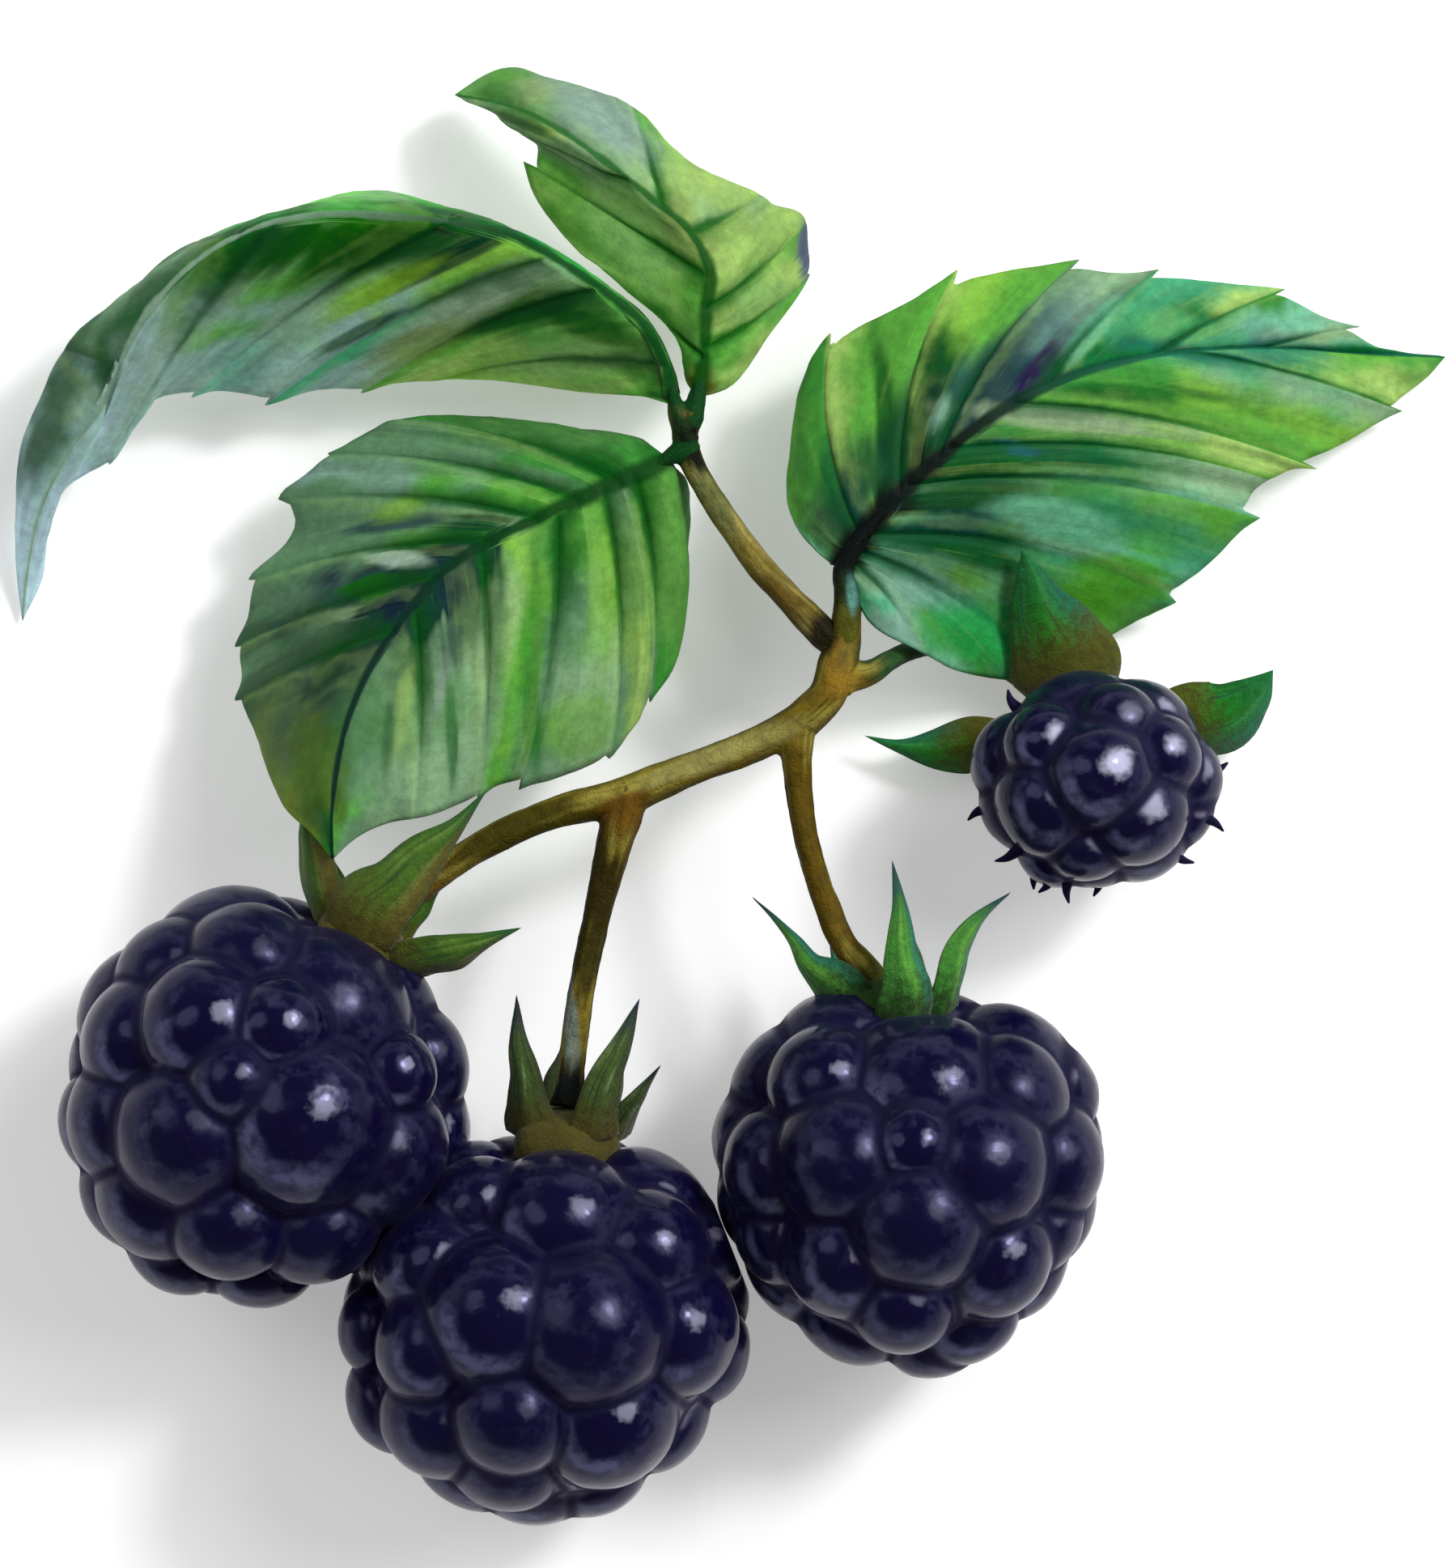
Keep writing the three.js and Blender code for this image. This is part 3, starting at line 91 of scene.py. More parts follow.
# Leaves. A half's margin runs from the midrib's first point to its last. Its veins pair the share of the
# midrib where a side vein starts with the share of the margin where it ends, and the height of its tooth
# against the leaf's other teeth. sweep bends the veins towards the tip, or away from it where negative.
LEAVES = {
    "leaf_right": {
        "tooth": 1.0,
        "midrib": [
            [6.7, 13.8, 12.6], [7.9, 15.5, 12.8], [9.8, 17.7, 12.8], [14.8, 22.2, 12.2], [19.9, 25.2, 11.0],
            [26.0, 27.0, 8.8], [33.3, 27.7, 5.4], [39.5, 27.5, 2.5], [45.1, 27.4, 0.5],
        ],
        "left": {
            "margin": [
                [4.9, 15.1, 11.4], [3.6, 17.7, 9.6], [3.6, 21.0, 8.2], [4.3, 24.6, 7.6], [5.8, 27.2, 7.6],
                [8.4, 29.0, 7.8], [14.0, 31.5, 8.0], [17.5, 32.4, 7.9], [21.3, 32.5, 7.5],
                [26.1, 32.0, 6.7], [30.2, 31.8, 5.7], [34.1, 31.1, 4.4], [38.6, 29.0, 2.6],
                [41.8, 27.7, 1.4],
            ],
            "veins": [
                [0.05, 0.286, 1], [0.13, 0.429, 1.2], [0.2, 0.559, 0.9], [0.38, 0.645, 0.9],
                [0.55, 0.787, 0.8], [0.72, 0.879, 1],
            ],
            "sweep": -0.16,
        },
        "right": {
            "margin": [
                [7.6, 12.2, 12.3], [8.7, 10.4, 11.6], [11.2, 8.9, 9.6], [15.0, 7.3, 5.2], [18.6, 7.1, 2.8],
                [22.2, 8.9, 2.1], [25.3, 10.7, 2.3], [27.8, 12.7, 3.0], [30.3, 14.7, 3.8],
                [31.8, 17.1, 4.6], [33.2, 19.2, 4.6], [36.0, 20.7, 4.0], [39.0, 22.2, 3.0],
                [41.8, 24.4, 1.8], [43.7, 25.9, 1.0],
            ],
            "veins": [
                [0.015, 0.157, 0], [0.03, 0.364, 0], [0.055, 0.539, 0.9], [0.145, 0.675, 1.2],
                [0.22, 0.725, 0], [0.33, 0.77, 1.1], [0.6, 0.905, 0.8],
            ],
            "sweep": 0.14,
        },
    },
    "leaflet_lower": {
        "tooth": 0.65,
        "midrib": [
            [-3.9, 20.6, 12.4], [-5.2, 19.8, 12.9], [-7.6, 18.8, 13.6], [-12.6, 16.5, 14.6],
            [-15.0, 15.3, 14.8], [-17.6, 13.6, 15.0], [-20.0, 10.8, 15.0], [-22.3, 7.3, 15.0],
            [-23.8, 3.4, 14.9], [-24.5, -1.1, 14.6], [-24.5, -4.2, 14.2],
        ],
        "left": {
            "margin": [
                [-2.8, 18.9, 9.9], [-2.6, 14.9, 9.0], [-2.7, 10.9, 8.6], [-3.7, 7.9, 8.0], [-5.3, 5.8, 7.8],
                [-6.0, 3.9, 7.8], [-8.1, 2.1, 9.0], [-10.7, 0.9, 10.6], [-13.2, 0.7, 11.6],
                [-15.2, 0.0, 12.4], [-17.9, -1.3, 13.4], [-21.1, -2.0, 13.8], [-23.1, -2.9, 14.0],
            ],
            "veins": [
                [0.07, 0.407, 1], [0.13, 0.526, 0.6], [0.22, 0.681, 1], [0.37, 0.754, 0.5], [0.52, 0.86, 0],
            ],
            "sweep": -0.12,
        },
        "right": {
            "margin": [
                [-4.9, 21.2, 11.5], [-7.2, 22.1, 10.0], [-10.7, 22.7, 8.5], [-14.3, 23.3, 7.8],
                [-19.3, 23.2, 7.2], [-22.9, 22.3, 6.8], [-24.4, 21.2, 6.4], [-27.6, 18.7, 5.8],
                [-27.1, 16.8, 5.8], [-29.4, 13.6, 5.4], [-30.1, 11.5, 5.2], [-30.5, 9.2, 5.4],
                [-30.5, 6.0, 6.4], [-29.6, 3.9, 8.0], [-28.6, 0.9, 11.0], [-27.5, -1.1, 13.0],
                [-25.8, -2.6, 13.9],
            ],
            "veins": [
                [0.1, 0.33, 0], [0.18, 0.415, 0.6], [0.26, 0.49, 1], [0.35, 0.596, 1], [0.46, 0.674, 0.8],
                [0.58, 0.738, 0.8],
            ],
            "sweep": -0.12,
        },
    },
    "leaflet_top": {
        "tooth": 0.9,
        "midrib": [
            [-2.1, 24.3, 12.2], [-1.7, 26.4, 12.6], [-1.5, 29.3, 13.0], [-1.3, 31.8, 13.3],
            [-2.3, 34.2, 13.4], [-4.6, 36.3, 13.2], [-7.6, 38.7, 12.4], [-10.7, 41.0, 10.4],
            [-14.0, 42.7, 7.6], [-17.3, 43.6, 4.6],
        ],
        "left": {
            "margin": [
                [-2.7, 25.3, 11.6], [-3.0, 26.9, 11.0], [-3.5, 28.5, 11.4], [-4.7, 30.0, 11.2],
                [-8.0, 32.4, 10.4], [-10.2, 34.3, 9.4], [-11.8, 36.8, 9.2], [-12.1, 38.6, 9.0],
                [-12.1, 40.2, 8.6], [-13.9, 41.6, 7.2], [-15.6, 42.7, 5.8],
            ],
            "veins": [[0.08, 0.25, 0], [0.24, 0.676, 1], [0.5, 0.84, 0]],
            "sweep": 0.02,
        },
        "right": {
            "margin": [
                [-0.8, 24.7, 11.4], [0.3, 25.4, 10.8], [1.9, 27.5, 9.4], [3.3, 29.6, 8.0], [4.7, 32.1, 6.0],
                [4.9, 34.3, 4.6], [4.2, 36.1, 4.8], [1.6, 37.1, 6.6], [-1.2, 38.4, 7.8], [-3.6, 40.2, 8.0],
                [-5.3, 41.8, 7.8], [-9.2, 44.0, 6.6], [-11.3, 44.7, 5.6], [-13.7, 45.4, 4.4],
                [-15.4, 44.8, 3.9], [-16.4, 44.2, 4.2],
            ],
            "veins": [[0.1, 0.285, 0.4], [0.18, 0.38, 0], [0.34, 0.47, 0], [0.42, 0.7, 0]],
            "sweep": -0.08,
        },
    },
    "leaflet_left": {
        "tooth": 0.8,
        "midrib": [
            [-3.4, 23.8, 12.2], [-3.8, 25.7, 13.0], [-5.1, 28.5, 14.5], [-7.8, 30.8, 15.8],
            [-10.6, 32.6, 16.8], [-13.5, 34.1, 17.4], [-17.0, 34.8, 17.8], [-20.4, 35.1, 18.0],
            [-24.9, 35.3, 17.8], [-29.4, 34.4, 16.8], [-33.0, 32.4, 15.0], [-35.6, 29.9, 13.0],
            [-37.5, 27.2, 10.8], [-39.2, 23.8, 8.0], [-41.4, 21.1, 5.8], [-43.3, 17.6, 3.6],
            [-44.2, 14.1, 1.8], [-44.7, 10.7, 0.4],
        ],
        "left": {
            "margin": [
                [-4.3, 24.1, 11.6], [-5.4, 24.5, 11.0], [-8.2, 24.7, 9.4], [-10.7, 25.0, 8.0],
                [-14.3, 25.6, 6.6], [-17.9, 26.0, 5.8], [-20.4, 25.5, 5.4], [-22.4, 25.4, 5.2],
                [-25.5, 25.1, 5.0], [-28.3, 24.7, 5.0], [-30.5, 24.9, 5.0], [-33.2, 25.2, 5.2],
                [-35.6, 24.7, 5.4], [-37.2, 23.1, 5.0], [-38.8, 21.0, 4.4], [-41.3, 19.2, 3.4],
                [-42.7, 17.4, 2.6], [-43.1, 15.4, 1.9], [-43.4, 13.4, 1.2],
            ],
            "veins": [
                [0.04, 0.316, 0.8], [0.145, 0.402, 0.9], [0.2, 0.517, 1], [0.3, 0.608, 0.9],
                [0.46, 0.751, 0.6],
            ],
            "sweep": 0.12,
        },
        "right": {
            "margin": [
                [-3.8, 25.4, 11.3], [-5.3, 28.0, 9.8], [-8.0, 30.4, 8.8], [-10.8, 32.3, 8.4],
                [-13.4, 34.3, 8.6], [-16.0, 35.4, 9.4], [-18.6, 36.3, 10.0], [-21.2, 36.9, 10.6],
                [-25.2, 36.7, 10.8], [-29.2, 35.4, 10.4], [-33.3, 33.8, 9.6], [-37.4, 31.3, 8.4],
                [-40.8, 28.4, 7.0], [-43.2, 24.4, 5.2], [-44.6, 21.4, 4.0], [-45.0, 18.2, 2.8],
                [-45.0, 14.1, 1.4],
            ],
            "veins": [[0.3, 0.36, 0], [0.5, 0.55, 0], [0.7, 0.72, 0]],
            "sweep": 0.0,
        },
    },
}

# Berries. hub is the middle of the calyx and cup is its radius. outline is how far the berry reaches from
# its centre sideways, every 30 degrees from +X, and radius how far it reaches up and down. filling is the
# smallest and the largest radius of the drupelets between the listed ones. A listed drupelet is [x, y] from
# the berry's centre and the radius that shows. styles are the directions of withered threads, in degrees.
# touches names the neighbours that it presses flat against. A sepal's points are [x, y, z, half-width].
BERRIES = {
    "left": {
        "centre": [-28.6, -18.5, 11.9],
        "hub": [-22.6, -8.7, 12.2],
        "radius": 13.0,
        "outline": [12.9, 12.0, 11.8, 12.8, 13.2, 13.0, 13.0, 13.5, 14.0, 13.4, 13.0, 13.0],
        "cup": 2.9,
        "filling": [2.5, 3.5],
        "touches": ["middle"],
        "listed": [
            [-2.9, 10.7, 3.0], [-3.7, 4.7, 2.9], [-8.3, 3.6, 2.6], [4.4, 5.8, 3.5], [11.2, 2.3, 2.2],
            [8.6, 1.4, 1.8], [-5.1, -2.6, 3.1], [2.9, -1.7, 3.8], [-11.7, -2.1, 2.0], [7.7, -4.1, 3.1],
            [-10.1, 6.2, 2.5], [-2.2, -8.5, 2.5], [3.6, -8.9, 2.5], [-9.7, -7.2, 2.1], [-6.2, -10.9, 2.1],
            [-0.4, -11.8, 2.1],
        ],
        "sepals": [
            [
                [-25.0, -9.2, 11.4, 1.5], [-25.5, -6.9, 12.0, 1.9], [-25.9, -4.9, 11.9, 1.75],
                [-26.2, -3.0, 11.6, 1.2], [-26.6, -1.0, 11.2, 0],
            ],
            [
                [-23.3, -9.6, 14.2, 2.2], [-22.4, -7.5, 15.4, 2.4], [-20.6, -5.9, 15.6, 1.95],
                [-19.0, -4.1, 15.2, 1.45], [-17.0, -2.3, 14.6, 0.6], [-15.0, 0.1, 13.8, 0],
            ],
            [
                [-21.2, -11.2, 12.4, 1.5], [-19.4, -10.7, 13.2, 1.9], [-17.3, -10.2, 13.5, 1.55],
                [-15.4, -9.4, 13.3, 0.75], [-12.9, -8.4, 12.8, 0],
            ],
            [
                [-21.6, -9.6, 8.9, 1.6], [-19.8, -6.7, 8.0, 1.3], [-18.5, -5.4, 7.8, 0.8],
                [-17.2, -4.1, 8.0, 0],
            ],
            [
                [-24.4, -8.8, 8.9, 1.6], [-25.1, -5.9, 7.6, 1.2], [-25.6, -4.2, 7.4, 0.7],
                [-26.0, -2.1, 7.6, 0],
            ],
        ],
    },
    "middle": {
        "centre": [-11.2, -33.2, 11.6],
        "hub": [-10.2, -21.1, 12.0],
        "radius": 12.6,
        "outline": [12.9, 13.2, 13.0, 12.4, 12.8, 13.0, 13.2, 13.6, 12.4, 12.2, 11.9, 11.6],
        "cup": 3.3,
        "filling": [2.4, 3.4],
        "touches": ["left", "right"],
        "listed": [
            [0.8, 7.7, 3.1], [-3.6, 1.5, 3.2], [2.7, 0.6, 3.5], [7.2, 8.8, 2.8], [11.1, 6.1, 2.2],
            [8.6, 0.1, 2.8], [11.4, -2.0, 2.0], [-7.7, -0.8, 2.4], [-11.2, 0.1, 1.8], [-7.2, -5.9, 2.5],
            [-11.2, -5.2, 2.1], [-2.4, -5.4, 2.5], [4.0, -5.9, 3.0], [7.9, -6.6, 2.1], [-1.1, -10.2, 2.4],
            [-5.2, -9.3, 2.1], [3.1, -10.0, 2.1], [-4.7, 8.3, 2.2], [-6.1, 11.1, 1.9],
        ],
        "sepals": [
            [
                [-12.4, -21.6, 12.9, 1.9], [-12.6, -19.4, 13.7, 1.5], [-12.7, -17.8, 14.0, 1.1],
                [-13.1, -15.6, 14.0, 0.7], [-13.2, -12.5, 13.6, 0],
            ],
            [
                [-8.5, -21.6, 14.0, 1.7], [-8.1, -19.3, 15.0, 1.4], [-7.5, -17.4, 15.3, 1.0],
                [-6.5, -15.1, 15.1, 0.6], [-5.6, -12.7, 14.6, 0],
            ],
            [
                [-7.3, -21.7, 11.6, 1.4], [-6.6, -20.2, 12.6, 1.0], [-5.7, -18.8, 13.6, 0.55],
                [-4.3, -16.8, 14.8, 0],
            ],
            [
                [-11.0, -21.4, 9.4, 1.4], [-10.6, -18.2, 8.4, 1.0], [-10.3, -16.5, 8.2, 0.5],
                [-10.1, -14.8, 8.4, 0],
            ],
            [
                [-8.4, -21.5, 9.9, 1.4], [-7.7, -18.5, 8.8, 1.0], [-7.1, -17.0, 8.4, 0.5],
                [-6.6, -15.5, 8.6, 0],
            ],
        ],
    },
    "right": {
        "centre": [11.1, -24.4, 11.1],
        "hub": [9.5, -12.9, 11.8],
        "radius": 12.1,
        "outline": [12.0, 13.4, 13.2, 11.8, 13.4, 13.1, 12.2, 11.6, 11.6, 12.2, 11.6, 11.1],
        "cup": 2.8,
        "filling": [2.3, 3.3],
        "touches": ["middle"],
        "listed": [
            [-4.7, 9.6, 3.0], [0.8, 6.8, 3.4], [6.8, 7.8, 3.0], [10.6, 7.3, 2.2], [-8.7, 7.3, 2.5],
            [-10.2, 3.3, 2.2], [-4.7, 2.1, 2.9], [4.5, 1.8, 3.0], [9.3, 1.6, 2.5], [0.3, -2.0, 3.0],
            [-4.7, -4.7, 2.5], [5.6, -4.7, 2.5], [-0.7, -7.5, 2.2], [-4.2, -9.2, 2.2], [3.8, -8.7, 2.1],
            [1.8, -10.7, 2.0], [-8.7, -3.2, 2.0], [8.3, -6.2, 2.0],
        ],
        "sepals": [
            [
                [7.6, -13.9, 12.2, 2.1], [6.2, -12.1, 12.5, 1.9], [4.8, -10.8, 12.1, 1.0],
                [3.9, -9.3, 11.6, 0.5], [2.8, -8.0, 11.2, 0.25], [1.3, -6.5, 10.6, 0],
            ],
            [
                [10.6, -14.5, 13.9, 1.7], [10.9, -12.2, 15.1, 1.6], [10.5, -10.1, 15.6, 1.05],
                [10.4, -7.1, 15.5, 0.5], [9.9, -4.2, 15.0, 0],
            ],
            [
                [12.9, -14.3, 12.4, 1.5], [13.5, -12.0, 13.4, 1.1], [14.1, -9.8, 13.6, 0.9],
                [15.1, -8.1, 13.3, 0.6], [17.3, -6.2, 12.6, 0],
            ],
            [[7.9, -13.6, 9.0, 1.4], [7.3, -10.7, 8.0, 1.0], [6.7, -9.2, 7.8, 0.6], [6.0, -7.4, 8.0, 0]],
            [
                [11.3, -14.0, 9.0, 1.5], [11.0, -11.0, 8.0, 1.1], [10.8, -9.2, 7.8, 0.6],
                [10.5, -7.2, 8.0, 0],
            ],
        ],
    },
    "small": {
        "centre": [22.5, 0.6, 9.6],
        "hub": [22.2, 2.4, 3.0],
        "radius": 7.9,
        "outline": [8.1, 7.7, 7.3, 7.0, 7.0, 7.6, 8.0, 7.0, 7.2, 6.6, 7.1, 7.6],
        "cup": 2.1,
        "filling": [1.9, 2.3],
        "styles": [136, 194, 222, 238, 247, 255, 274, 318, 342, 5],
        "touches": [],
        "listed": [
            [0.2, 0.5, 2.4], [-1.2, 5.3, 2.5], [4.2, 4.4, 2.1], [-6.2, 1.8, 1.8], [-3.4, -1.7, 2.2],
            [2.9, -2.4, 2.2], [6.6, 0.3, 1.8], [-2.7, -5.2, 1.6], [0.0, -5.2, 1.5], [4.1, -4.9, 1.9],
            [-5.6, -2.2, 1.5], [7.3, -2.6, 1.4],
        ],
        "sepals": [
            [
                [22.0, 4.6, 2.7, 1.8], [21.2, 7.2, 4.7, 3.4], [20.4, 9.1, 5.9, 3.1], [19.4, 11.2, 7.1, 2.0],
                [18.6, 13.6, 8.6, 0.8], [18.1, 15.1, 9.4, 0],
            ],
            [
                [25.0, 3.2, 2.7, 1.3], [28.4, 4.2, 3.0, 2.3], [31.0, 4.6, 3.3, 2.3], [32.6, 5.8, 3.7, 1.5],
                [34.0, 7.6, 4.2, 0],
            ],
            [
                [19.4, 2.5, 2.7, 1.3], [16.4, 2.9, 3.0, 1.75], [14.5, 2.8, 3.0, 1.7], [12.6, 2.6, 2.8, 1.2],
                [10.6, 2.8, 2.5, 0.45], [8.4, 3.5, 2.2, 0],
            ],
            [[20.9, -0.2, 1.9, 1.2], [19.8, -1.9, 1.2, 1.3], [19.1, -3.3, 0.8, 0.7], [18.6, -4.8, 0.6, 0]],
            [[24.0, -0.2, 1.9, 1.2], [25.4, -1.9, 1.2, 1.3], [26.4, -3.3, 0.8, 0.7], [27.2, -4.6, 0.6, 0]],
        ],
    },
}


# --- colours ------------------------------------------------------------------------------------------------

# The greens and greys of a leaf, as display values, by letter.
PALETTE = {
    "k": (4, 24, 16),
    "n": (16, 34, 56),
    "s": (40, 84, 88),
    "q": (52, 86, 58),
    "d": (12, 76, 26),
    "e": (18, 104, 52),
    "g": (62, 134, 56),
    "G": (90, 158, 66),
    "y": (124, 176, 72),
    "Y": (154, 188, 104),
    "o": (104, 124, 50),
    "t": (72, 154, 110),
    "T": (114, 178, 144),
    "m": (94, 132, 98),
    "M": (128, 162, 124),
    "b": (132, 164, 156),
    "B": (154, 180, 188),
}

